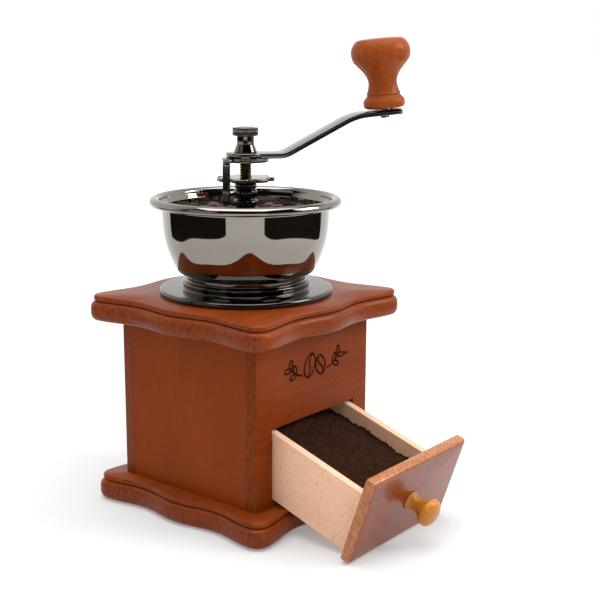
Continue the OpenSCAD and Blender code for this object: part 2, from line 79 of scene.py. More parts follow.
# the crank knob's tilted axis
KNOB_AXIS = Vector(JOINTS["knob_spin"]["axis"]).normalized()
KNOB_FOOT = Vector(JOINTS["knob_spin"]["pos_m"])
ARM_TURN = math.atan2(KNOB_FOOT.y, KNOB_FOOT.x)
ARM_TILT = math.acos(KNOB_AXIS.z)
KNOB = (
    Matrix.Translation(KNOB_FOOT)
    @ Matrix.Rotation(ARM_TURN, 4, "Z")
    @ Matrix.Rotation(-ARM_TILT, 4, "Y")
)

# ---------------------------------------------------------------- meshes


def place(points, matrix=None):
    """Points moved by a 4x4 matrix, or left where they are when there is none."""
    if matrix is None:
        return points
    m = np.array(matrix)
    return points @ m[:3, :3].T + m[:3, 3]


def new_object(name, data):
    """An object with this data, in the scene."""
    obj = bpy.data.objects.new(name, data)
    bpy.context.scene.collection.objects.link(obj)
    return obj


def make(name, parts, slot, body, nodes=(), angle=40):
    """One object from a list of (points, faces) parts: doubles merged, normals turned outwards,
    edges sharper than the angle kept crisp."""
    verts, faces, base = [], [], 0
    for points, quads in parts:
        verts.append(np.asarray(points).reshape(-1, 3))
        faces += (np.asarray(quads) + base).tolist()
        base += len(verts[-1])
    mesh = bpy.data.meshes.new(name)
    mesh.from_pydata(np.concatenate(verts).tolist(), [], faces)
    return finish_mesh(name, mesh, slot, body, nodes, angle)


def finish_mesh(name, mesh, slot, body, nodes, angle, bevel=None):
    """The object for a mesh: cleaned, shaded, on its body and with the material of its slot. With a
    bevel width its flat faces are joined and its edges are eased by that width."""
    bm = bmesh.new()
    bm.from_mesh(mesh)
    bmesh.ops.remove_doubles(bm, verts=bm.verts, dist=2e-6)
    bmesh.ops.dissolve_degenerate(bm, edges=bm.edges, dist=1e-6)
    if bevel:
        bmesh.ops.dissolve_limit(
            bm, angle_limit=math.radians(0.5), verts=bm.verts, edges=bm.edges
        )
    bmesh.ops.recalc_face_normals(bm, faces=bm.faces)
    if bm.calc_volume(signed=True) < 0:
        bmesh.ops.reverse_faces(bm, faces=bm.faces)
    bm.to_mesh(mesh)
    bm.free()
    mesh.shade_smooth()
    mesh.set_sharp_from_angle(angle=math.radians(angle))
    obj = new_object(name, mesh)
    if bevel:
        m = obj.modifiers.new("edges", "BEVEL")
        m.width, m.segments, m.limit_method = bevel, 3, "ANGLE"
        m.angle_limit = math.radians(35)
        m.harden_normals = True
    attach(obj, body)
    if nodes:
        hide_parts(*nodes)
    obj.data.materials.append(MATERIALS[slot])
    return obj


def eased(node, slot, body, width):
    """A copy of a CAD node with its loose triangles joined and its edges eased by a width."""
    mesh = frame["nodes"][node].data.copy()
    mesh.materials.clear()
    return finish_mesh(node + "_eased", mesh, slot, body, (node,), 30, width)


def grid(rows, wrap_u=False, wrap_v=False):
    """The quads of a grid of points, rows[u, v], joined at its ends where it wraps."""
    rows = np.asarray(rows)
    nu, nv = rows.shape[:2]
    u = np.arange(nu if wrap_u else nu - 1)
    v = np.arange(nv if wrap_v else nv - 1)
    a, b = np.meshgrid(u, v, indexing="ij")
    a2, b2 = (a + 1) % nu, (b + 1) % nv
    quads = np.stack([a * nv + b, a2 * nv + b, a2 * nv + b2, a * nv + b2], -1)
    return rows.reshape(-1, 3), quads.reshape(-1, 4)


def eased_corners(points, radius, steps=5):
    """A polyline whose corners are replaced by short parabolas: each leaves the line one radius
    before the corner, or at half of a short side, and joins it as far beyond."""
    p = np.asarray(points, float)
    r = np.broadcast_to(radius, len(p))
    out = [p[:1]]
    t = np.linspace(0, 1, steps + 1)[:, None]
    for i in range(1, len(p) - 1):
        before, after = p[i - 1] - p[i], p[i + 1] - p[i]
        la, lb = np.linalg.norm(before), np.linalg.norm(after)
        q0 = p[i] + before / la * min(r[i], la / 2)
        q1 = p[i] + after / lb * min(r[i], lb / 2)
        out.append((1 - t) ** 2 * q0 + 2 * t * (1 - t) * p[i] + t**2 * q1)
    out.append(p[-1:])
    return np.concatenate(out)


def flowing(points, steps=6):
    """A smooth curve through the points: on each stretch the cubic whose ends have the slope of the
    line between their two neighbours (Catmull-Rom)."""
    p = np.asarray(points, float)
    q = np.concatenate([[2 * p[0] - p[1]], p, [2 * p[-1] - p[-2]]])
    t = np.linspace(0, 1, steps, endpoint=False)[:, None, None]
    a, b, c, d = q[:-3], q[1:-2], q[2:-1], q[3:]
    s = 0.5 * (
        2 * b + (c - a) * t + (2 * a - 5 * b + 4 * c - d) * t**2
        + (3 * b - a - 3 * c + d) * t**3
    )
    return np.concatenate([s.transpose(1, 0, 2).reshape(-1, 2), p[-1:]])


def lathe(profile, around=144, matrix=None, ripple=None):
    """A turned surface: the point at angle a and profile place (r, z) is (r cos a, r sin a, z).
    A profile that starts or ends off the axis closes on itself. ripple(a, r, z) changes r."""
    prof = np.asarray(profile, float)
    a = np.linspace(0, 2 * np.pi, around, endpoint=False)[:, None]
    r = np.broadcast_to(prof[:, 0], (around, len(prof))).copy()
    z = np.broadcast_to(prof[:, 1], r.shape)
    if ripple is not None:
        r = ripple(a, r, z)
    rows = np.stack([r * np.cos(a), r * np.sin(a), z], -1)
    closed = prof[0, 0] > 1e-7 or prof[-1, 0] > 1e-7
    points, quads = grid(rows, True, closed)
    return place(points, matrix), quads


def at_heights(rings, heights):
    """Level rings (x, y, z) from flat rings (x, y): ring k stands at heights[k]."""
    z = np.asarray(heights, float)[:, None, None]
    return np.concatenate([rings, np.broadcast_to(z, rings.shape[:2] + (1,))], -1)


def drawn_in(rows):
    """Rings with one more before the first and after the last, each a single repeated point: the
    mean of the ring beside it."""
    n = rows.shape[1]
    first = rows[:1].mean(1, keepdims=True).repeat(n, 1)
    last = rows[-1:].mean(1, keepdims=True).repeat(n, 1)
    return np.concatenate([first, rows, last])


def turned(piece, angles):
    """A flat outline made of one piece repeated: point (x, y) at angle a is
    (x cos a - y sin a, x sin a + y cos a)."""
    c, s = np.cos(angles)[:, None, None], np.sin(angles)[:, None, None]
    x, y = piece[None, :, :1], piece[None, :, 1:]
    return np.concatenate([x * c - y * s, x * s + y * c], -1).reshape(-1, 2)


def quarters(steps):
    """The four quarter arcs of the unit circle, in order round it, each with its corner's signs."""
    a = np.linspace(0, np.pi / 2, steps)
    arc = np.stack([np.cos(a), np.sin(a)], -1)
    back = arc[::-1]
    return ((arc, 1, 1), (back * [-1, 1], -1, 1), (-arc, -1, -1), (back * [1, -1], 1, -1))


def closed_sheet(front, back, quads):
    """A solid from a sheet of quads: the same quads over a second set of points behind it, and a
    wall from each edge that belongs to only one quad."""
    n = len(front)
    edges = np.stack([quads, np.roll(quads, -1, 1)], -1).reshape(-1, 2)
    _, first, count = np.unique(np.sort(edges, 1), axis=0, return_index=True, return_counts=True)
    rim = edges[first[count == 1]]
    walls = np.stack([rim[:, 0], rim[:, 1], rim[:, 1] + n, rim[:, 0] + n], -1)
    points = np.concatenate([front, back.reshape(-1, 3)])
    return points, np.concatenate([quads, quads + n, walls])


def lofted(outline, heights, matrix=None):
    """A closed solid whose level sections are outlines: outline[k] at heights[k], with a flat end
    drawn in to the middle of the first and the last."""
    rows = at_heights(np.asarray(outline, float), heights)
    points, quads = grid(drawn_in(rows), False, True)
    return place(points, matrix), quads


# ---------------------------------------------------------------- materials


class Nodes:
    """Short calls for building a node tree."""

    def __init__(self, tree):
        self.tree = tree

    def add(self, kind, **settings):
        node = self.tree.nodes.new(kind)
        for key, value in settings.items():
            setattr(node, key, value)
        return node

    def link(self, source, target):
        self.tree.links.new(source, target)

    def feed(self, node, **inputs):
        """Sockets set or linked by name, with _ for a space, or by number as i0, i1, ..."""
        for key, value in inputs.items():
            numbered = key[0] == "i" and key[1:].isdigit()
            socket = node.inputs[int(key[1:]) if numbered else key.replace("_", " ")]
            if isinstance(value, bpy.types.NodeSocket):
                self.link(value, socket)
            else:
                socket.default_value = value
        return node

    def math(self, op, a, b=0.0, clamp=False):
        node = self.feed(self.add("ShaderNodeMath", operation=op, use_clamp=clamp), i0=a, i1=b)
        return node.outputs[0]

    def noise(self, vector, scale, detail=3.0, rough=0.55, distortion=0.0):
        node = self.feed(
            self.add("ShaderNodeTexNoise"), Vector=vector, Scale=scale, Detail=detail,
            Roughness=rough, Distortion=distortion,
        )
        return node.outputs["Fac"]

    def spread(self, value, lo, hi, to_lo=0.0, to_hi=1.0):
        node = self.feed(
            self.add("ShaderNodeMapRange", clamp=True), Value=value, From_Min=lo, From_Max=hi,
            To_Min=to_lo, To_Max=to_hi,
        )
        return node.outputs[0]

    def stretch(self, vector, scale, turn=(0, 0, 0)):
        node = self.feed(self.add("ShaderNodeMapping"), Vector=vector, Scale=scale, Rotation=turn)
        return node.outputs[0]

    def mix(self, fac, a, b):
        node = self.add("ShaderNodeMix", data_type="RGBA")
        self.feed(node, Factor=fac)
        for value, socket in ((a, node.inputs[6]), (b, node.inputs[7])):
            if isinstance(value, bpy.types.NodeSocket):
                self.link(value, socket)
            else:
                socket.default_value = (*value, 1)
        return node.outputs[2]

    def facing(self):
        return self.add("ShaderNodeTexCoord").outputs["Normal"]

    def bump(self, height, strength, distance):
        node = self.feed(self.add("ShaderNodeBump"), Height=height, Strength=strength, Distance=distance)
        return node.outputs[0]


def new_group(name, inputs, outputs):
    """A node group with its sockets: its tree, the calls for it, and its two end nodes."""
    tree = bpy.data.node_groups.new(name, "ShaderNodeTree")
    for label, kind, value in inputs:
        socket = tree.interface.new_socket(label, in_out="INPUT", socket_type=kind)
        if value is not None:
            socket.default_value = value
    for label, kind in outputs:
        tree.interface.new_socket(label, in_out="OUTPUT", socket_type=kind)
    n = Nodes(tree)
    return tree, n, n.add("NodeGroupInput"), n.add("NodeGroupOutput")


def grain_group():
    """Wood whose fibres run along X of the vector it is given: broad tone, growth bands, fine fibres,
    dark pores and the short flecks of quarter-cut beech."""
    tree, n, src, out = new_group(
        "wood_grain",
        [("Vector", "NodeSocketVector", None), ("Bands", "NodeSocketFloat", 0.5),
         ("Seed", "NodeSocketVector", None)],
        [("Tone", "NodeSocketFloat"), ("Pores", "NodeSocketFloat"), ("Flecks", "NodeSocketFloat"),
         ("Height", "NodeSocketFloat")],
    )
    shifted = n.add("ShaderNodeVectorMath", operation="ADD")
    shifted = n.feed(shifted, i0=src.outputs["Vector"], i1=src.outputs["Seed"]).outputs[0]
    broad = n.noise(n.stretch(shifted, (12, 45, 45)), 1.0, 3, 0.5)
    warped = n.noise(n.stretch(shifted, (6, 60, 60)), 1.0, 4, 0.6, 0.6)
    bands = n.math("FRACT", n.math("MULTIPLY", warped, 9.0))
    bands = n.math("ABSOLUTE", n.math("SUBTRACT", bands, 0.5))
    fibres = n.noise(n.stretch(shifted, (60, 1600, 1600)), 1.0, 3, 0.6)
    pores = n.noise(n.stretch(shifted, (150, 2400, 2400)), 1.0, 2, 0.5)
    pores = n.spread(pores, 0.62, 0.74)
    flecks = n.noise(n.stretch(shifted, (1300, 1300, 330)), 1.0, 1, 0.4)
    flecks = n.spread(flecks, 0.63, 0.72)
    tone = n.math("MULTIPLY", n.math("MULTIPLY", bands, 2.0), src.outputs["Bands"])
    tone = n.math("ADD", n.math("MULTIPLY", broad, 0.6), n.math("MULTIPLY", tone, 0.35))
    tone = n.math("ADD", tone, n.math("MULTIPLY", fibres, 0.3), clamp=True)
    height = n.math("SUBTRACT", n.math("MULTIPLY", fibres, 0.5), n.math("MULTIPLY", pores, 0.8))
    n.feed(out, Tone=tone, Pores=pores, Flecks=flecks, Height=height)
    return tree


def smear_group():
    """Faint cloudy wiping marks and fine dust, for polished surfaces."""
    tree, n, src, out = new_group(
        "wipe_marks",
        [("Vector", "NodeSocketVector", None), ("Base", "NodeSocketFloat", 0.1),
         ("Amount", "NodeSocketFloat", 0.05)],
        [("Roughness", "NodeSocketFloat"), ("Height", "NodeSocketFloat")],
    )
    cloud = n.noise(src.outputs["Vector"], 55.0, 5, 0.6, 0.4)
    fine = n.noise(src.outputs["Vector"], 900.0, 2, 0.5)
    mark = n.math("ADD", n.math("MULTIPLY", cloud, 0.75), n.math("MULTIPLY", fine, 0.25))
    mark = n.math("MULTIPLY", mark, src.outputs["Amount"])
    rough = n.math("ADD", src.outputs["Base"], mark, clamp=True)
    n.feed(out, Roughness=rough, Height=cloud)
    return tree


def new_material(name):
    """A material with only its shader and output: it, the calls for it, the shader, and the vector
    of places on the object."""
    m = bpy.data.materials.new(name)
    m.use_nodes = True
    tree = m.node_tree
    tree.nodes.clear()
    n = Nodes(tree)
    shader = n.add("ShaderNodeBsdfPrincipled")
    n.link(shader.outputs[0], n.add("ShaderNodeOutputMaterial").inputs[0])
    coord = n.add("ShaderNodeTexCoord").outputs["Object"]
    return m, n, shader, coord


def wood(name, pale, deep, pore, turn, rough=0.3, coat=0.5, bands=0.5, seed=(0, 0, 0),
         flecks=0.0, pores=0.6, relief=0.25, burnt=False, contrast=(0.25, 0.8), spec=0.5, edges=None):
    """Wood along one direction: turn is the rotation that brings the fibres onto X. Its edges, if
    given, are an axis, how far a surface must face it to be an edge, and their pale and deep tone."""
    m, n, shader, coord = new_material(name)
    g = n.add("ShaderNodeGroup", node_tree=GRAIN)
    n.feed(g, Vector=n.stretch(coord, (1, 1, 1), turn), Bands=bands, Seed=seed)
    tone = n.spread(g.outputs["Tone"], *contrast)
    colour = n.mix(tone, deep, pale)
    colour = n.mix(n.math("MULTIPLY", g.outputs["Pores"], pores), colour, pore)
    if flecks:
        colour = n.mix(n.math("MULTIPLY", g.outputs["Flecks"], flecks), colour, pore)
    # edge tones: end grain's own darker colour on the plates and walls; a painted highlight in a lighter
    # tone on the drawer front's rounded edges
    if edges:
        axis, lo, hi, at_lo, at_hi, edge_pale, edge_deep = edges
        facing = n.add("ShaderNodeVectorMath", operation="DOT_PRODUCT")
        n.feed(facing, i0=n.facing(), i1=axis)
        mask = n.spread(n.math("ABSOLUTE", facing.outputs["Value"]), lo, hi, at_lo, at_hi)
        mottle = n.noise(n.stretch(coord, (800, 800, 260)), 1.0, 3, 0.65)
        colour = n.mix(mask, colour, n.mix(n.spread(mottle, 0.36, 0.62), edge_deep, edge_pale))
    wipe = n.feed(n.add("ShaderNodeGroup", node_tree=WIPE), Vector=coord, Base=rough, Amount=0.12)
    rough_value = wipe.outputs["Roughness"]
    if burnt:
        groove = n.add("ShaderNodeAttribute", attribute_name="burnt").outputs["Fac"]
        colour = n.mix(n.spread(groove, 0.05, 0.6), colour, (0.02, 0.007, 0.004))
        rough_value = n.math("ADD", rough_value, n.spread(groove, 0.0, 0.15, 0.0, 0.45), clamp=True)
    n.feed(shader, Base_Color=colour, Roughness=rough_value, Coat_Weight=coat, Coat_Roughness=0.12,
           Specular_IOR_Level=spec, Normal=n.bump(g.outputs["Height"], relief, 0.08 * MM))
    return m


def metal(name, colour, rough, amount, second=None):
    """Polished metal: two tints in clouds, and wiping marks that vary its roughness."""
    m, n, shader, coord = new_material(name)
    wipe = n.feed(n.add("ShaderNodeGroup", node_tree=WIPE), Vector=coord, Base=rough, Amount=amount)
    tint = n.noise(coord, 40.0, 3)
    tint = n.mix(n.spread(tint, 0.3, 0.7), colour, second or colour)
    n.feed(shader, Base_Color=tint, Roughness=wipe.outputs["Roughness"], Metallic=1.0,
           Normal=n.bump(wipe.outputs["Height"], 0.02, 0.2 * MM))
    return m


def cast(name, colour, second, rough, metallic, scale, relief):
    """Cast iron: spots that vary its colour, roughness and height together."""
    m, n, shader, coord = new_material(name)
    spots = n.noise(coord, scale, 4, 0.6)
    n.feed(shader, Base_Color=n.mix(n.spread(spots, 0.3, 0.7), colour, second), Metallic=metallic,
           Roughness=n.spread(spots, 0.2, 0.8, rough * 0.8, rough * 1.2),
           Normal=n.bump(spots, relief, 0.2 * MM))
    return m


def felt(name):
    """Dark felt: fine tangled hairs with a faint sheen."""
    m, n, shader, coord = new_material(name)
    hair = n.noise(coord, 1800.0, 5, 0.7, 1.5)
    colour = n.mix(n.spread(hair, 0.3, 0.7), (0.02, 0.012, 0.01), (0.07, 0.045, 0.04))
    n.feed(shader, Base_Color=colour, Roughness=0.95, Sheen_Weight=0.4,
           Normal=n.bump(hair, 0.8, 0.3 * MM))
    return m


def roasted_bean():
    """Dark roasted coffee beans with a dull skin."""
    m, n, shader, coord = new_material("roasted_bean")
    tone = n.noise(coord, 240.0, 3, 0.6)
    fine = n.noise(coord, 1500.0, 3, 0.6)
    colour = n.mix(n.spread(tone, 0.3, 0.7), (0.032, 0.016, 0.011), (0.1, 0.049, 0.036))
    n.feed(shader, Base_Color=colour, Roughness=n.spread(fine, 0.3, 0.7, 0.32, 0.5),
           Specular_IOR_Level=0.3, Normal=n.bump(fine, 0.35, 0.1 * MM))
    return m


def ground_coffee():
    """Ground coffee: fine grit gathered in clumps, quite matt."""
    m, n, shader, coord = new_material("ground_coffee")
    grit = n.noise(coord, 1400.0, 6, 0.75)
    clump = n.noise(coord, 260.0, 4, 0.65)
    mixed = n.math("ADD", n.math("MULTIPLY", grit, 0.7), n.math("MULTIPLY", clump, 0.3))
    colour = n.mix(n.spread(mixed, 0.36, 0.66), (0.005, 0.0022, 0.0012), (0.056, 0.021, 0.01))
    n.feed(shader, Base_Color=colour, Roughness=0.95, Specular_IOR_Level=0.06,
           Normal=n.bump(mixed, 1.0, 0.8 * MM))
    return m


GRAIN = grain_group()
WIPE = smear_group()
# rotations that bring the fibres onto X
ACROSS, UPRIGHT = (0, 0, 0), (0, math.pi / 2, 0)
ACROSS_DRAWER, ALONG_DRAWER = (-TIP, 0, 0), (-TIP, 0, math.pi / 2)
# each wood's pale, deep and pore colour
STAIN = (0.25, 0.045, 0.004), (0.135, 0.02, 0.0018), (0.05, 0.008, 0.002)
BEECH = (0.84, 0.53, 0.355), (0.72, 0.42, 0.265), (0.46, 0.2, 0.1)
GLUE_BLOCK = (0.6, 0.4, 0.22), (0.45, 0.27, 0.13), (0.3, 0.16, 0.07)
KNOB_STAIN = (0.31, 0.066, 0.009), (0.17, 0.028, 0.004), (0.08, 0.014, 0.003)
HONEY = (0.52, 0.2, 0.026), (0.38, 0.12, 0.012), (0.2, 0.06, 0.008)
# edges: axis, facing from and to, mask at these two, pale and deep tone
END_GRAIN = ((1, 0, 0), 0.45, 0.85, 0, 1, (0.2, 0.034, 0.004), (0.105, 0.018, 0.0035))
FACE_AXIS = (0, math.cos(TIP), math.sin(TIP))
# the drawer front's rounded edges, top and sides in a much lighter tone: a painted highlight along its
# edges
PAINTED_EDGE_HIGHLIGHT = (FACE_AXIS, 0.72, 0.95, 1, 0, (0.45, 0.165, 0.05), (0.26, 0.07, 0.016))
MATERIALS = {
    "stained_wood": wood("stained_wood", *STAIN, ACROSS, bands=0.45, coat=0.1, spec=0.12, pores=0.8,
                         edges=END_GRAIN),
    "side_wood": wood("side_wood", *STAIN, UPRIGHT, bands=0.2, coat=0.02, spec=0.06, pores=0.8,
                      seed=(0.4, 0.2, 0.6), contrast=(0.0, 0.9)),
    "front_wall": wood("front_wall", *STAIN, ACROSS, bands=0.35, coat=0.02, spec=0.06, pores=0.8,
                       burnt=True, edges=END_GRAIN),
    "drawer_face": wood("drawer_face", *STAIN, ACROSS_DRAWER, bands=0.35, seed=(0.2, 0.3, 0.1),
                        coat=0.4, spec=0.35, edges=PAINTED_EDGE_HIGHLIGHT),
    "raw_beech": wood("raw_beech", *BEECH, ALONG_DRAWER, rough=0.55, coat=0.0, flecks=0.45,
                      pores=0.25, relief=0.3, bands=0.4),
    "glue_block_wood": wood("glue_block_wood", *GLUE_BLOCK, UPRIGHT, rough=0.65, coat=0.0),
    "knob_wood": wood("knob_wood", *KNOB_STAIN, UPRIGHT, rough=0.36, coat=0.1,
                      seed=(0.3, 0.1, 0.2), spec=0.07),
    "honey_wood": wood("honey_wood", *HONEY, ALONG_DRAWER, rough=0.28, coat=0.25, bands=0.6,
                       seed=(0.1, 0.5, 0.2), spec=0.2),
    "felt": felt("felt"),
    "black_nickel": metal("black_nickel", (0.27, 0.247, 0.218), 0.02, 0.05, (0.25, 0.228, 0.202)),
    # the flange and neck: a much darker copy of black nickel, a painted dark reflection
    "flange_nickel_painted_dark": metal("flange_nickel_painted_dark", (0.1, 0.09, 0.078), 0.02, 0.05, (0.09, 0.08, 0.07)),
    # star nut, stop plate, crank arm and thumb nut: a darker copy of black nickel, painted to dim their
    # reflections
    "small_nickel_painted_dark": metal("small_nickel_painted_dark", (0.16, 0.145, 0.128), 0.05, 0.08, (0.14, 0.128, 0.113)),
    "black_enamel": metal("black_enamel", (0.075, 0.072, 0.068), 0.06, 0.06),
    "burr_iron": cast("burr_iron", (0.12, 0.12, 0.125), (0.2, 0.2, 0.2), 0.4, 0.9, 800.0, 0.3),
    "dark_brass": metal("dark_brass", (0.2, 0.14, 0.06), 0.22, 0.15, (0.12, 0.085, 0.045)),
    "bright_steel": metal("bright_steel", (0.6, 0.6, 0.6), 0.2, 0.15),
    "yellow_brass": metal("yellow_brass", (0.75, 0.52, 0.2), 0.2, 0.15, (0.6, 0.42, 0.18)),
    "roasted_bean": roasted_bean(),
    "ground_coffee": ground_coffee(),
}

# ---------------------------------------------------------------- box

# the walls' outer and inner face, as distances from the middle
BOX = {"half": -low("front_panel")[1], "inner": high("left_panel")[1]}
BASE_TOP, BODY_TOP = low("front_panel")[2], high("front_panel")[2]
# the burnt ornament: its middle, half the height of its band, its lines' width and depth
MOTIF_Z, MOTIF_HALF = BASE_TOP + 71.8 * MM, 10 * MM
STROKE, BURN = 0.42 * MM, 0.7 * MM
PLATE_T = high("top_plate")[2] - low("top_plate")[2]
WAVE, PLATE_CORNER = 3.7 * MM, 9 * MM
# the moulded edge: [inset in mm, share of the thickness]
EDGE_LIP = [[1.9, 0], [0.7, 0.09], [0.1, 0.22], [0, 0.37], [0.1, 0.52], [0.7, 0.65], [1.9, 0.73],
            [3.3, 0.77]]
EDGE_BEAD = [[3.3, 0.77], [2.3, 0.8], [1.9, 0.88], [2.1, 0.96], [2.7, 1]]


def plate_outline(half, inset, side_steps=64, corner_steps=10):
    """A square outline whose four sides swell twice and draw in twice, one minus a cosine with two
    waves to a side, and whose corners are arcs."""
    flat = half - PLATE_CORNER
    u = np.linspace(-flat, flat, side_steps, endpoint=False)
    out = half - inset - WAVE * (1 - np.cos(2 * np.pi * u / flat)) / 2
    a = np.radians(-90 + np.linspace(0, 90, corner_steps, endpoint=False))
    r = PLATE_CORNER - inset
    side = np.concatenate([
        np.stack([u, -out], -1),
        np.stack([flat + r * np.cos(a), -flat + r * np.sin(a)], -1),
    ])
    return turned(side, np.arange(4) * np.pi / 2)


def plate(name, node, hole=0.0):
    """A moulded plate: its edge profile carried round the wavy outline, closed over its middle or
    left open round a round hole."""
    z0, half = low(node)[2], high(node)[0]
    edge = np.concatenate([flowing(EDGE_LIP, 4)[:-1], flowing(EDGE_BEAD, 4)])
    rings = np.array([plate_outline(half, inset * MM) for inset in edge[:, 0]])
    heights = z0 + edge[:, 1] * PLATE_T
    if not hole:
        return make(name, [lofted(rings, heights)], "stained_wood", "box", (node,), 50)
    a = np.arctan2(rings[0, :, 1], rings[0, :, 0])
    bore = np.stack([hole * np.cos(a), hole * np.sin(a)], -1)
    near = 0.5 * (bore + rings[-1])
    flat = np.concatenate([[bore, 0.5 * (bore + rings[0])], rings, [near, bore]])
    z = np.concatenate([[heights[0]] * 2, heights, [heights[-1]] * 2])
    rows = at_heights(flat, z)
    return make(name, [grid(rows, True, True)], "stained_wood", "box", (node,), 50)


def sprig(origin, heading, length, bend, leaves):
    """Strokes of a small leafy twig, in millimetres: a stem whose heading turns evenly, with leaves in
    pairs, each leaf two half ellipses."""
    t = np.linspace(0, 1, 30)
    turn = heading + bend * t
    stem = origin + np.cumsum(np.stack([np.cos(turn), np.sin(turn)], -1), 0) * length / 30
    strokes = [stem]
    for k in range(leaves):
        i = int(29 * (k + 1) / (leaves + 0.4))
        for side in (-1, 1):
            a = turn[i] + side * 0.8
            s = np.linspace(0, np.pi, 14)
            along, out = (1 - np.cos(s)) / 2 * 5.6, np.sin(s) * 1.25
            for flip in (-1, 1):
                strokes.append(stem[i] + np.stack([
                    along * np.cos(a) - flip * out * np.sin(a),
                    along * np.sin(a) + flip * out * np.cos(a),
                ], -1))
    return strokes


def bean_mark(centre, turn, long, wide):
    """Strokes of a coffee bean: an oval outline and the S of its crease."""
    a = np.linspace(0, 2 * np.pi, 60)
    s = np.linspace(-0.96, 0.96, 30)
    oval = np.stack([long * np.cos(a), wide * np.sin(a)], -1)
    crease = np.stack([long * s, wide * 0.3 * np.sin(np.pi * s)], -1)
    c, d = math.cos(turn), math.sin(turn)
    spin = np.array([[c, d], [-d, c]])
    return [oval @ spin + centre, crease @ spin + centre]


def engraving(x, z):
    """How deep the burnt ornament is at each place of the front: 1 up to half a line's width from the
    middle of a line, falling evenly to 0 at one and a half widths. Two coffee beans with a leafy
    twig to each side."""
    mid = np.array([-0.3, MOTIF_Z / MM])
    strokes = bean_mark(mid + [-4.0, 0.4], 1.2, 6.8, 4.5)
    strokes += bean_mark(mid + [5.6, -1.0], 1.9, 5.8, 3.9)
    strokes += sprig(mid + [11.5, -4.0], 0.15, 14, 0.75, 2)
    strokes += sprig(mid + [-10.2, -4.0], math.pi - 0.15, 14, -0.75, 2)
    line = np.concatenate([flowing(s, 3) for s in strokes]) * MM
    where = np.stack([x, z], -1)
    near = np.abs(z - mid[1] * MM) < 9 * MM
    depth = np.zeros(x.shape)
    gap = np.sqrt(((where[near][:, None, :] - line[None]) ** 2).sum(-1)).min(1)
    depth[near] = np.clip(1.5 - gap / STROKE, 0, 1)
    return depth


def front_wall():
    """The front wall: a sheet of points over its height and width with the drawer's opening left out,
    its upright edges a quarter round, a second flat sheet behind it, and walls along the open edges."""
    half, inner, edge = BOX["half"], BOX["inner"], 0.8 * MM
    opening = 37 * MM
    lintel, sill = BASE_TOP + 43.6 * MM, BASE_TOP + 3.1 * MM
    bend = np.linspace(np.pi / 2, 0, 7)
    round_x, round_y = half - edge + edge * np.sin(bend), -half + edge * (1 - np.cos(bend))
    mid = np.linspace(-27 * MM, 27 * MM, 181)
    right = np.concatenate([[opening, 42 * MM], round_x[::-1]])
    x = np.concatenate([-right[::-1], [-32 * MM], mid, [32 * MM], right])
    y = np.interp(np.abs(x), round_x[::-1], round_y[::-1])
    x, y = np.r_[-half, x, half], np.r_[-inner, y, -inner]
    z = np.concatenate([
        [BASE_TOP, sill], np.linspace(sill, lintel, 8)[1:],
        np.linspace(lintel, MOTIF_Z - MOTIF_HALF, 5)[1:-1],
        np.linspace(MOTIF_Z - MOTIF_HALF, MOTIF_Z + MOTIF_HALF, 68),
        np.linspace(MOTIF_Z + MOTIF_HALF, BODY_TOP, 4)[1:],
    ])
    gx, gz = np.meshgrid(x, z, indexing="ij")
    carved = engraving(gx, gz)
    gy = np.broadcast_to(y[:, None], gx.shape) + carved * BURN
    front = np.stack([gx, gy, gz], -1)
    back = np.stack([gx, np.full_like(gx, -inner), gz], -1)
    points, quads = grid(front)
    mid_x, mid_z = np.abs(gx.ravel()[quads].mean(1)), gz.ravel()[quads].mean(1)
    quads = quads[~((mid_x < opening) & (mid_z > sill) & (mid_z < lintel))]
    solid = closed_sheet(points, back, quads)
    obj = make("front_wall", [solid], "front_wall", "box", ("front_panel",), 42)
    co = np.array([v.co for v in obj.data.vertices])
    burnt = np.where(co[:, 1] < -half + 1 * MM, engraving(co[:, 0], co[:, 2]), 0)
    obj.data.attributes.new("burnt", "FLOAT", "POINT").data.foreach_set("value", burnt)
    return obj


def build_box():
    """The two moulded plates, the four walls and the felt pad."""
    plate("base_moulding", "base_plate")
    plate("top_moulding", "top_plate", 22.5 * MM)
    front_wall()
    for node in ("left_panel", "right_panel"):
        eased(node, "side_wood", "box", 0.35 * MM)
    eased("back_panel", "stained_wood", "box", 0.5 * MM)
    eased("base_pad", "felt", "box", 0.4 * MM)


# ---------------------------------------------------------------- bowl and mill

LID_TOP = high("top_plate")[2]
FLANGE_TOP = LID_TOP + 3.5 * MM
NECK_TOP = high("flange")[2]
FLANGE_R, RIM_R, RIM_TOP = high("flange")[0], high("bowl")[0], high("bowl")[2]
NECK_R, THROAT_R = 36.6 * MM, 22 * MM
POST_TOP = low("thrust_washer")[2]
SHAFT_R = 3.4 * MM
STAR_Z, STAR_R = low("adjusting_nut")[2], 16.5 * MM
STAR_T = high("adjusting_nut")[2] - STAR_Z
STOP_Z, STOP_T = high("stop_plate")[2] - 2 * MM, 2 * MM
LEG_TURN = math.radians(180.4)
LEG_W, LEG_R = 4.6 * MM, 16.2 * MM
ARM_Z, ARM_T = high("stop_plate")[2], 3 * MM
# the bowl's wall from its neck to under the rim: [share of radius, share of height]
WALL = np.array([
    [0.655, 0.005], [0.7, 0.03], [0.735, 0.085], [0.768, 0.17], [0.8, 0.265], [0.828, 0.37],
    [0.85, 0.48], [0.863, 0.59], [0.87, 0.7], [0.874, 0.8], [0.878, 0.88],
])


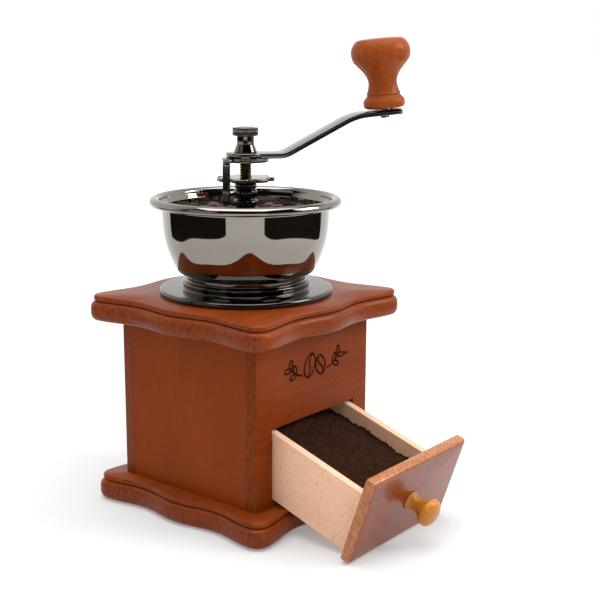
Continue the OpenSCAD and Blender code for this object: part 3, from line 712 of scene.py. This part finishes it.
def build_flange():
    """The flange and its stepped neck, turned."""
    r, n, z, t = FLANGE_R, NECK_R, LID_TOP, FLANGE_TOP
    inside = 31 * MM
    line = [
        [THROAT_R, z], [r - 0.5 * MM, z], [r, z + 0.5 * MM], [r, t - 0.9 * MM], [r - 0.9 * MM, t],
        [n + 1.2 * MM, t + 0.1 * MM], [n - 0.5 * MM, t + 0.4 * MM], [n - 0.3 * MM, t + 1.8 * MM],
        [n, t + 3.7 * MM], [n - 0.6 * MM, t + 4.4 * MM], [n - 2.4 * MM, t + 4.6 * MM],
        [n - 2 * MM, NECK_TOP], [inside, NECK_TOP], [inside, t], [THROAT_R, t],
    ]
    prof = eased_corners(line, 0.9 * MM, 5)
    # its darkened nickel paints in the dark reflections of the neck
    make("flange_turned", [lathe(prof, 192)], "flange_nickel_painted_dark", "box", ("flange",), 60)


def build_bowl():
    """The spun bowl: one profile from the neck up the wall, round the rolled rim and down inside."""
    h, thick = RIM_TOP - NECK_TOP, 1.6 * MM
    foot = NECK_R - 5.8 * MM
    wall = flowing(WALL * [RIM_R, h], 5) + [0, NECK_TOP]
    roll = np.array([
        [1.4, 4.6], [0.4, 3.9], [0, 2.8], [0.3, 1.6], [1.1, 0.6], [2.5, 0], [3.6, 0], [5, 0.6],
        [5.8, 1.6], [6.1, 3],
    ]) * MM
    rim = flowing(np.stack([RIM_R - roll[:, 0], RIM_TOP - roll[:, 1]], -1), 5)
    under = np.array([[wall[-1, 0] + 0.5 * MM, RIM_TOP - 4.55 * MM]])
    inside = wall[::-1] - [thick, -0.3 * MM]
    start = np.array([[foot, NECK_TOP - 7.9 * MM], [foot, NECK_TOP + 0.1 * MM],
                      [NECK_R - 2 * MM, NECK_TOP + 0.1 * MM]])
    finish = np.array([[foot - thick, NECK_TOP - 0.5 * MM], [foot - thick, NECK_TOP - 7.9 * MM]])
    prof = np.concatenate([start, wall, under, rim, inside, finish])
    make("bowl_spun", [lathe(prof, 224)], "black_nickel", "box", ("bowl",), 55)


def build_post():
    """The bearing post and the ring with three spokes that it stands on."""
    z, top = FLANGE_TOP + 0.1 * MM, POST_TOP - 0.1 * MM
    line = np.array([
        [4.7, 0.1], [8, 0.1], [8, 5.2], [6, 10.2], [5.4, 12.2], [5.4, 45.7], [6.9, 46.7], [6.9, 49.1],
        [5.5, 50], [5.5, 50.6], [6.5, 51.5], [6.5, 54.7], [5.6, 55.6], [5.6, 56.1], [6.2, 56.6],
        [6.2, 58.3], [5.7, 58.8], [4.7, 58.8],
    ]) * MM
    line[:, 1] = z + line[:, 1] * (top - z) / (58.8 * MM)
    ring = np.array([[29, 0.1], [29, 3.2], [22.6, 3.2], [22.6, 0.1]]) * MM + [0, z]
    parts = [lathe(eased_corners(line, 0.8 * MM, 4), 96), lathe(np.r_[ring, ring[:1]], 96)]
    beam = np.array([[-3, 0.1], [3, 0.1], [3, 3.2], [-3, 3.2]]) * MM
    for a in np.radians([0, 120, 240]):
        rows = np.array([[[x, y, z + h] for y, h in beam] for x in (7 * MM, 23 * MM)])
        points, quads = grid(drawn_in(rows), False, True)
        parts.append((place(points, Matrix.Rotation(a, 4, "Z")), quads))
    make("bearing_post_turned", parts, "black_enamel", "box", ("bearing_post",), 40)


def build_star():
    """The adjusting nut: a thin disc with eased edges and seven notches, each an arc about a point
    just outside the disc."""
    lobes, notch = 7, LEG_W / 2 + 1.9 * MM
    far = STAR_R + 1.2 * MM
    cross = math.acos((far**2 + STAR_R**2 - notch**2) / (2 * far * STAR_R))
    reach = math.acos((far**2 + notch**2 - STAR_R**2) / (2 * far * notch))
    b = np.linspace(-reach, reach, 15)
    dip = np.stack([far - notch * np.cos(b), -notch * np.sin(b)], -1)[::-1]
    a = np.linspace(cross, 2 * np.pi / lobes - cross, 17)[1:-1]
    lobe = np.stack([STAR_R * np.cos(a), STAR_R * np.sin(a)], -1)
    turns = LEG_TURN + np.arange(lobes) * 2 * np.pi / lobes
    ring = turned(np.concatenate([dip, lobe]), turns)
    angle = np.arctan2(ring[:, 1], ring[:, 0])
    bore = np.stack([np.cos(angle), np.sin(angle)], -1)
    e, t, inner, seat = 0.7 * MM, STAR_T, SHAFT_R * 1.02, 9 * MM
    ease = np.radians(np.linspace(-90, 90, 9))
    rings = [ring * (1 - e / STAR_R * (1 - math.cos(b))) for b in ease]
    rings += [bore * seat, bore * inner, bore * inner, bore * seat]
    heights = [t / 2 + (t / 2 - e) * np.sign(b) + e * math.sin(b) for b in ease] + [t, t, 0, 0]
    rows = at_heights(np.array(rings), STAR_Z + np.array(heights))
    make("star_nut", [grid(rows, True, True)], "small_nickel_painted_dark", "adjusting_nut", ("adjusting_nut",), 38)


def strip(line, half_width, thick, edge, matrix):
    """A bent strip: a rounded rectangle carried along a line in the upright plane of X and Z, square
    to the line, as wide on each side as half_width says there, drawn in to a point at both ends."""
    line = np.asarray(line)
    w = np.asarray(half_width)[:, None]
    tangent = np.gradient(line, axis=0)
    tangent /= np.linalg.norm(tangent, axis=1, keepdims=True)
    e = np.minimum(edge, w * 0.9)
    flat = thick / 2 - edge
    side = np.concatenate([sx * (w - e) + e * q[:, 0] for q, sx, _ in quarters(5)], 1)
    rise = np.concatenate([sz * flat + edge * q[:, 1] + 0 * w for q, _, sz in quarters(5)], 1)
    x = line[:, :1] - tangent[:, 1:] * rise
    z = line[:, 1:] + tangent[:, :1] * rise
    points, quads = grid(drawn_in(np.stack([x, side, z], -1)), False, True)
    return place(points, matrix), quads


def even(line, step):
    """The same line with points a step apart along it."""
    line = np.asarray(line)
    run = np.r_[0, np.cumsum(np.linalg.norm(np.diff(line, axis=0), axis=1))]
    s = np.linspace(0, run[-1], int(run[-1] / step) + 1)
    return np.stack([np.interp(s, run, line[:, 0]), np.interp(s, run, line[:, 1])], -1), s


def build_stop_plate():
    """The stop plate: a disc on the shaft, and a leg with a rounded tip bent down from it into a notch
    of the star nut."""
    t, e = STOP_T, 0.35 * MM
    disc = [[SHAFT_R, STOP_Z], [13.2 * MM, STOP_Z], [13.2 * MM, STOP_Z + t], [SHAFT_R, STOP_Z + t],
            [SHAFT_R, STOP_Z]]
    leg_t = t * 0.8
    z = STOP_Z + t - leg_t / 2
    foot = low("stop_plate")[2]
    bend = eased_corners([[9 * MM, z], [LEG_R, z], [LEG_R, foot]], 2.2 * MM, 8)
    line, s = even(bend, 0.6 * MM)
    left = s[-1] - s
    half = LEG_W / 2 * np.sqrt(np.clip(1 - (1 - np.clip(left / (1.2 * MM), 0, 1)) ** 2, 0.2, 1))
    turn = Matrix.Rotation(LEG_TURN, 4, "Z")
    make("stop_plate_bent", [lathe(eased_corners(disc, e, 4), 96), strip(line, half, leg_t, e, turn)],
         "small_nickel_painted_dark", "spindle", ("stop_plate",), 45)


def build_arm():
    """The crank arm: a flat bar with a round hub, bent up and then nearly level again. Its half width
    is a circle's round the shaft, then even, and drawn in by an arc at its end."""
    hub, width = 11 * MM, 17 * MM
    bend_one, bend_two, rise = 21.5 * MM, 62 * MM, 21.6 * MM
    end = 90 * MM - 0.1 * MM
    mid = ARM_Z + ARM_T / 2
    out = [end - 0.5 * MM, mid + rise + (end - 0.5 * MM - bend_two) * math.tan(ARM_TILT)]
    bends = eased_corners(
        [[-hub, mid], [bend_one, mid], [bend_two, mid + rise], out], [0, 3.5 * MM, 7 * MM, 0], 14)
    line, _ = even(bends, 0.5 * MM)
    x = line[:, 0]
    round_hub = np.sqrt(np.clip(hub**2 - x**2, 0, None))
    half = np.where(x < 0, round_hub, np.maximum(round_hub, width / 2))
    corner = 3 * MM
    past = np.clip(x - (x[-1] - corner), 0, corner)
    half = half - corner + np.sqrt(np.clip(corner**2 - past**2, 0, None))
    half = np.maximum(np.where(x < 0, round_hub, half), 0.5 * MM)
    turn = Matrix.Rotation(ARM_TURN, 4, "Z")
    make("crank_arm_bent", [strip(line, half, ARM_T, 0.6 * MM, turn)], "small_nickel_painted_dark", "spindle",
         ("crank_arm",), 40)


def build_shaft():
    """The shaft, with a helical thread between the star nut and the stop plate: its radius follows a
    triangle wave in height less a turn's share of the pitch."""
    z0, z1 = low("shaft")[2], high("shaft")[2]
    pitch, deep = 1.45 * MM, 0.5 * MM
    run = np.linspace(POST_TOP + 0.5 * MM, STOP_Z + 0.5 * MM, 150)
    prof = np.concatenate([[[0, z0], [SHAFT_R - 0.3 * MM, z0], [SHAFT_R, z0 + 0.3 * MM]],
                           np.stack([np.full(150, SHAFT_R), run], -1),
                           [[SHAFT_R, z1], [0, z1]]])

    def thread(a, r, z):
        turn = np.abs((z / pitch - a / (2 * np.pi)) % 1 - 0.5) * 2
        cut = np.clip((z - run[0]) / pitch, 0, 1) * np.clip((run[-1] - z) / pitch, 0, 1)
        return r - deep * np.clip(turn * 1.4 - 0.2, 0, 1) * cut * (r > 0)

    make("shaft_threaded", [lathe(prof, 64, ripple=thread)], "dark_brass", "spindle", ("shaft",), 60)


def build_thumb_nut():
    """The thumb nut: a waisted neck under a head whose radius is cut in by a clipped cosine, once
    for each upright knurl."""
    z = ARM_Z + ARM_T
    line = np.array([
        [0, 0], [6.5, 0], [6.5, 0.5], [4.95, 4.5], [4.95, 9.3], [6.8, 9.4], [7.25, 9.9],
        [7.25, 13.5], [6.8, 14.0], [5.4, 14.0], [5.0, 13.7], [0, 13.7],
    ]) * MM + [0, z]
    knurls = 32

    def knurl(a, r, h):
        on_head = (r > 6.7 * MM) * (h > z + 9 * MM)
        return r - 0.4 * MM * np.clip(0.5 + np.cos(knurls * a), 0, 1) * on_head

    make("thumb_nut_knurled", [lathe(eased_corners(line, 0.3 * MM, 3), 320, ripple=knurl)],
         "small_nickel_painted_dark", "spindle", ("thumb_nut",), 50)


def build_crank_knob():
    """The crank's turned knob: a foot, a narrow waist and a full head."""
    r, h = 16.7 * MM, 38.8 * MM
    base = KNOB @ Matrix.Translation((0, 0, 2.5 * MM))
    # share of the radius, height in mm
    foot = [[0.62, 0], [0.69, 0.9], [0.71, 2.8], [0.69, 4.6], [0.6, 6.4], [0.555, 7.4]]
    waist = [[0.58, 7.9], [0.52, 10.5], [0.485, 14], [0.52, 17], [0.62, 20], [0.76, 22.8],
             [0.84, 24.2]]
    head = [[0.86, 24.7], [0.93, 26], [0.985, 28.5], [1, 31], [0.985, 33], [0.93, 35.2],
            [0.86, 36.8]]
    top = [[0.835, 37.2], [0.8, 37.75], [0.7, 38.3], [0.45, 38.65], [0.2, 38.78], [0, 38.8]]
    outside = [flowing(np.array(curve) * [r, MM], 5) for curve in (foot, waist, head, top)]
    bore = 2.7 * MM
    inside = np.array([[0, h - 2.6 * MM], [4.2 * MM, h - 2.6 * MM], [4.2 * MM, h - 8.5 * MM],
                       [bore, h - 8.5 * MM], [bore, 0], [0.62 * r, 0]])
    prof = np.concatenate([*outside, inside])
    make("crank_knob_turned", [lathe(prof, 160, base)], "knob_wood", "crank_knob", ("crank_knob",), 28)


# ---------------------------------------------------------------- drawer

# the closed tray's underside: the rod's radius and a little play above its axis
TRAY_Z = ROD.z + 1.25 * MM + 0.3 * MM
TRAY = {"w": 71.6 * MM, "h": 36 * MM, "l": 81 * MM, "t": 4.6 * MM, "floor": 4.2 * MM}
FRONT = {"w": TRAY["w"] + 16.8 * MM, "h": 50 * MM, "t": 6 * MM, "low": 0.6 * MM}
FRONT_MID = TRAY_Z + FRONT["low"] + FRONT["h"] / 2


def rounded_box_rings(w, h, corner, inset, steps=5):
    """A rectangle's outline drawn in by an inset, with arcs at its corners."""
    r = max(corner - inset, 0.15 * MM)
    x, y = w / 2 - inset - r, h / 2 - inset - r
    return np.concatenate([q * r + [sx * x, sy * y] for q, sx, sy in quarters(steps)])


def on_front(out):
    """The place in the middle of the drawer's front, a distance out from the wall's face, with Z
    pointing outwards."""
    middle = Matrix.Translation((0, -BOX["half"] - out, FRONT_MID))
    return DRAWER @ (middle @ Matrix.Rotation(math.pi / 2, 4, "X"))


def build_drawer_front():
    """The drawer's front: a board whose outer face is rounded over on all four sides."""
    ease = 2.4 * MM
    a = np.linspace(0, np.pi / 2, 8)
    inset = np.r_[0.4 * MM, 0, ease * (1 - np.cos(a))]
    depth = np.r_[0.06 * MM, 0.46 * MM, FRONT["t"] - ease + ease * np.sin(a)]
    rings = np.array([rounded_box_rings(FRONT["w"], FRONT["h"], 1.6 * MM, i) for i in inset])
    make("drawer_front_board", [lofted(rings, depth, on_front(0))], "drawer_face", "drawer",
         ("drawer_front",), 50)


def build_drawer_knob():
    """The drawer's turned pull: a flared foot, a thin neck and a round head."""
    r = 7.8 * MM
    line = flowing(np.array([
        [0.66, 0], [0.68, 0.8], [0.54, 2.2], [0.48, 4], [0.5, 6], [0.64, 8.2], [0.88, 10.2],
        [0.99, 11.6], [1, 12.6], [0.96, 14], [0.84, 15.3], [0.6, 16.3], [0.3, 16.85], [0, 17],
    ]) * [r, MM], 5)
    prof = np.concatenate([[[0, 0]], line])
    make("drawer_pull", [lathe(prof, 96, on_front(FRONT["t"]))], "honey_wood", "drawer",
         ("drawer_knob",), 40)


def build_tray():
    """The tray's boards of raw beech."""
    for node in ("drawer_left_side", "drawer_right_side", "drawer_back", "drawer_bottom"):
        eased(node, "raw_beech", "drawer", 0.3 * MM)


def waves(x, y, seed, size, count=5):
    """A smooth uneven field about zero: half the sum of sine waves in seeded directions, each 1.7
    times finer and 1.6 times weaker than the last."""
    rng = np.random.default_rng(seed)
    out = np.zeros(np.shape(x))
    for k in range(count):
        a, b = rng.uniform(0, 2 * np.pi, 2)
        f = 2 * np.pi / size * 1.7**k
        out += np.sin((x * np.cos(a) + y * np.sin(a)) * f + b) / 1.6**k
    return out / 2


def build_grounds():
    """Ground coffee: a field of heights over the tray's floor, higher at the left wall and the back,
    crumbling down towards the right wall, closed by walls and a flat underside."""
    x0 = TRAY["w"] / 2 - TRAY["t"] - 0.15 * MM
    y0, y1 = -BOX["half"] + 0.2 * MM, -BOX["half"] + TRAY["l"] - TRAY["t"] - 0.15 * MM
    nx, ny = 190, 230
    gx, gy = np.meshgrid(np.linspace(-x0, x0, nx), np.linspace(y0, y1, ny), indexing="ij")
    across = (gx + x0) / (2 * x0)
    along = (gy - y0) / (y1 - y0)
    h = 34.2 - 6.2 * np.clip((across - 0.45) / 0.5, 0, 1) ** 1.2
    h -= 5.5 * np.clip((0.16 - along) / 0.16, 0, 1) ** 1.5
    h += 1.6 * np.exp(-(((along - 0.55) / 0.2) ** 2 + ((across - 0.6) / 0.25) ** 2))
    h += waves(gx, gy, 3, 26 * MM, 4) * 0.8
    h += waves(gx, gy, 8, 5 * MM, 3) * 0.35
    rng = np.random.default_rng(5)
    fine = rng.normal(0, 1, gx.shape)
    fine = (fine + np.roll(fine, 1, 0) + np.roll(fine, 1, 1) + np.roll(fine, (1, 1), (0, 1))) / 4
    h += fine * 0.32
    top = np.stack([gx, gy, TRAY_Z + h * MM], -1)
    under = np.stack([gx, gy, np.full_like(gx, TRAY_Z + TRAY["floor"] + 0.1 * MM)], -1)
    points, quads = grid(top)
    points, faces = closed_sheet(points, under, quads)
    make("ground_coffee_heap", [(place(points, DRAWER), faces)], "ground_coffee", "drawer", (), 75)


# ---------------------------------------------------------------- beans

BEAN_TOP = RIM_TOP - 8.4 * MM


def bean_shape():
    """A coffee bean: ellipses along its length whose size follows a sine to the power of 0.75, rounded
    on one side, nearly flat on the other with a crease, a bell curve, along the middle."""
    u = np.radians([-62, -30, 0, 32, 64, 90, 116, 148, 180, 210, 242, 262, 270, 278])
    v = np.radians([2, 26, 50, 76, 104, 130, 154, 178])
    su, cu = np.sin(u)[None], np.cos(u)[None]
    ring = np.sin(v)[:, None] ** 0.75
    x = np.broadcast_to(4.6 * np.cos(v)[:, None], (len(v), len(u)))
    y = 3.3 * ring * cu
    up = np.where(su > 0, 2.9 * su, 1.35 * su)
    crease = np.exp(-(((u[None] - 1.5 * np.pi) / 0.09) ** 2)) * 0.9
    z = ring * (up + crease)
    return grid(drawn_in(np.stack([x, y, z], -1) * MM), False, True)


def scattered(count, radius, gap, seed):
    """Points scattered in a ring round the post, none nearer to another than the gap."""
    rng = np.random.default_rng(seed)
    picked = np.zeros((0, 2))
    for p in rng.uniform(-radius, radius, (count, 2)):
        r = np.hypot(*p)
        if 11 * MM < r < radius and (not len(picked) or np.hypot(*(picked - p).T).min() > gap):
            picked = np.concatenate([picked, p[None]])
    return picked


def heap_height(r):
    """The heap's height at a distance r from the shaft: level up to 24 mm, then rising evenly by
    2.2 mm over the next 20 mm."""
    return BEAN_TOP - 1.5 * MM + 2.2 * MM * np.clip((r - 24 * MM) / (20 * MM), 0, 1)


def build_beans():
    """Two layers of single beans, lying along the wall where they are near it and any way elsewhere,
    over a plain ring-shaped bed."""
    points, quads = bean_shape()
    rng = np.random.default_rng(12)
    parts = []
    for layer, (drop, seed) in enumerate(((2.9, 1), (6.2, 2))):
        spots = scattered(9000, 42.6 * MM - layer * 1.5 * MM, 5.9 * MM, seed)
        for x, y in spots:
            r = math.hypot(x, y)
            flip = rng.random() < 0.42
            tilt = rng.normal(0, 0.28, 2)
            m = Matrix.Translation((x, y, heap_height(r) - drop * MM))
            near_wall = r > 38.5 * MM
            yaw = math.atan2(y, x) + math.pi / 2 if near_wall else rng.uniform(0, 2 * np.pi)
            m = m @ Matrix.Rotation(yaw, 4, "Z")
            m = m @ Matrix.Rotation(tilt[0] + (math.pi if flip else 0), 4, "X")
            m = m @ Matrix.Rotation(tilt[1], 4, "Y") @ Matrix.Scale(rng.uniform(0.86, 1.06), 4)
            parts.append((place(points, m), quads))
    make("coffee_beans", parts, "roasted_bean", "box", (), 60)
    r = np.array([5.6, 11, 22, 32, 40, 45.4]) * MM
    top = np.stack([r, heap_height(r) - 7.4 * MM], -1)
    bottom = np.array([[45.4 * MM, BEAN_TOP - 14 * MM], [5.6 * MM, BEAN_TOP - 14 * MM]])
    make("bean_bed", [lathe(np.concatenate([top, bottom, top[:1]]), 72)], "roasted_bean", "box", (), 40)


# ---------------------------------------------------------------- CAD pieces that stay

KEPT = {
    "corner_blocks": "glue_block_wood", "drawer_runners": "glue_block_wood",
    "drawer_sill_rod": "bright_steel", "base_screws": "yellow_brass", "outer_burr": "burr_iron",
    "bearing_bushes": "yellow_brass", "burr_bolts": "bright_steel", "thrust_washer": "black_nickel",
    "inner_burr": "burr_iron", "burr_nut": "bright_steel", "burr_spring": "bright_steel",
    "knob_pin": "black_nickel", "knob_washer": "black_nickel", "drawer_knob_screw": "yellow_brass",
}


def finish_kept():
    """The material of its slot for each CAD node that is shown as it is."""
    for node, slot in KEPT.items():
        obj = frame["nodes"][node]
        obj.data.materials.clear()
        obj.data.materials.append(MATERIALS[slot])


# ---------------------------------------------------------------- studio


CAMERA_AT = (-0.4793, -0.4193, 0.2549)
# degrees: bearing from +Y, how far down it looks, roll
CAMERA_TURN = (-51.60, 12.26, 0.28)
CAMERA_SIDE = math.atan2(CAMERA_AT[1], CAMERA_AT[0])
# the bearing, from +Y towards +X, of the middle of the room's dark half
DARK_BEARING = math.radians(-131)
FLOOR_HALF = 60.0
# name, place, aim, size, watts
LIGHTS = (
    ("top", (-0.1, -0.05, 1.5), (0, 0, 0.1), (1.5, 1.5), 26),
    ("key", (0.55, -0.75, 0.75), (0, 0, 0.08), (0.5, 0.5), 6.5),
    ("left", (-0.9, 0.2, 0.5), (0, 0, 0.1), (0.6, 0.6), 0.5),
)
# name, first and last bearing in degrees from the camera's side, near and far edge in metres
CARDS = (
    ("card_right", 24, 122, 0.47, 2.2),
    ("card_left", -122, -26, 0.47, 2.2),
    ("card_front", -30, 30, 1.3, 8.0),
)


def build_camera():
    """The camera, its three axes worked out from its bearing, its dip and its roll."""
    data = bpy.data.cameras.new("view")
    data.sensor_width, data.lens = 36.0, 67.9
    a, e, roll = np.radians(CAMERA_TURN).tolist()
    ahead = Vector((-math.sin(a) * math.cos(e), math.cos(a) * math.cos(e), -math.sin(e)))
    right = Vector((math.cos(a), math.sin(a), 0))
    up = right.cross(ahead)
    r2 = right * math.cos(roll) + up * math.sin(roll)
    u2 = up * math.cos(roll) - right * math.sin(roll)
    cam = new_object("view", data)
    axes = Matrix((r2, u2, -ahead)).transposed().to_4x4()
    cam.matrix_world = Matrix.Translation(CAMERA_AT) @ axes
    bpy.context.scene.camera = cam


def build_world():
    """A white room. Seen in a reflection, its half on the camera's side is dark up to a steep height,
    as in a studio whose light comes from behind the mill and from overhead."""
    world = bpy.data.worlds.new("studio")
    bpy.context.scene.world = world
    world.use_nodes = True
    n = Nodes(world.node_tree)
    world.node_tree.nodes.clear()
    way = n.add("ShaderNodeTexCoord").outputs["Generated"]
    parts = n.feed(n.add("ShaderNodeSeparateXYZ"), Vector=way).outputs
    around = n.math("ARCTAN2", parts["X"], parts["Y"])
    gap = n.math("ABSOLUTE", n.math("SUBTRACT", around, DARK_BEARING))
    gap = n.math("MINIMUM", gap, n.math("SUBTRACT", 2 * math.pi, gap))
    low_down = n.spread(parts["Z"], 0.86, 0.97, 1.0, 0.0)
    dark = n.math("MULTIPLY", n.spread(gap, 1.35, 1.75, 1.0, 0.0), low_down)
    room = n.mix(n.spread(parts["Z"], 0.5, 1.0), (1.0, 1.0, 1.0), (0.45, 0.45, 0.45))
    room = n.mix(dark, room, (0.012, 0.011, 0.01))
    ray = n.add("ShaderNodeLightPath")
    shown = n.mix(ray.outputs["Is Camera Ray"], room, (1, 1, 1))
    shown = n.mix(ray.outputs["Is Diffuse Ray"], shown, (0.7, 0.7, 0.7))
    back = n.feed(n.add("ShaderNodeBackground"), Color=shown, Strength=1.0)
    n.link(back.outputs[0], n.add("ShaderNodeOutputWorld").inputs[0])


def build_light(name, place_at, aim, size, power):
    """A white area light turned towards the point it aims at."""
    data = bpy.data.lights.new(name, "AREA")
    data.shape, data.size, data.size_y = "RECTANGLE", *size
    data.energy = power
    light = new_object(name, data)
    light.location = place_at
    light.rotation_euler = (Vector(aim) - Vector(place_at)).to_track_quat("-Z", "Y").to_euler()


def build_floor():
    """A white floor that glows more the farther it is from the mill, so that it has no horizon."""
    m, n, shader, coord = new_material("studio_floor")
    away = n.feed(n.add("ShaderNodeVectorMath", operation="LENGTH"), i0=coord).outputs["Value"]
    n.feed(shader, Base_Color=(0.52, 0.52, 0.52, 1), Roughness=0.8, Specular_IOR_Level=0.1,
           Emission_Color=(1, 1, 1, 1), Emission_Strength=n.spread(away, 0.3, 1.5, 0.24, 0.95))
    mesh = bpy.data.meshes.new("floor")
    corners = [(-1, -1), (1, -1), (1, 1), (-1, 1)]
    points = [(x * FLOOR_HALF, y * FLOOR_HALF, -0.2 * MM) for x, y in corners]
    mesh.from_pydata(points, [], [(0, 1, 2, 3)])
    mesh.materials.append(m)
    floor = new_object("floor", mesh)


def build_card(name, first, last, near, far, material):
    """A flat dark card lying on the floor, a part of a ring round the mill between two bearings from
    the camera's side. Its near edge wavers by a sine of the bearing and its near corners are rounded
    by the eighth power of the place along it. It shows only in glossy reflections."""
    a = np.radians(np.linspace(first, last, 40)) + CAMERA_SIDE
    r = np.array([near, far])[:, None]
    corner = 0.22 * np.abs(np.linspace(-1, 1, 40)) ** 8
    r = r + np.array([near, 0])[:, None] * (0.05 * np.sin(5 * a + 1.5 * np.sin(3 * a)) + corner)
    rows = np.stack([r * np.cos(a), r * np.sin(a), np.full((2, 40), 0.8 * MM)], -1)
    points, quads = grid(rows)
    mesh = bpy.data.meshes.new(name)
    mesh.from_pydata(points.tolist(), [], quads.tolist())
    mesh.materials.append(material)
    card = new_object(name, mesh)
    card.visible_camera = card.visible_diffuse = card.visible_shadow = False


def build_cards():
    """The dark cards, all of one patchy matt material."""
    m, n, shader, coord = new_material("dark_card")
    colour = n.mix(n.noise(coord, 9.0, 2), (0.008, 0.007, 0.006), (0.022, 0.018, 0.015))
    n.feed(shader, Base_Color=colour, Roughness=1.0, Specular_IOR_Level=0.0)
    for card in CARDS:
        build_card(*card, m)


build_box()
build_flange()
build_bowl()
build_post()
build_star()
build_stop_plate()
build_arm()
build_shaft()
build_thumb_nut()
build_crank_knob()
build_drawer_front()
build_drawer_knob()
build_tray()
build_grounds()
build_beans()
finish_kept()
build_camera()
build_world()
for light in LIGHTS:
    build_light(*light)
build_floor()
build_cards()
bpy.context.scene.view_settings.view_transform = "Standard"
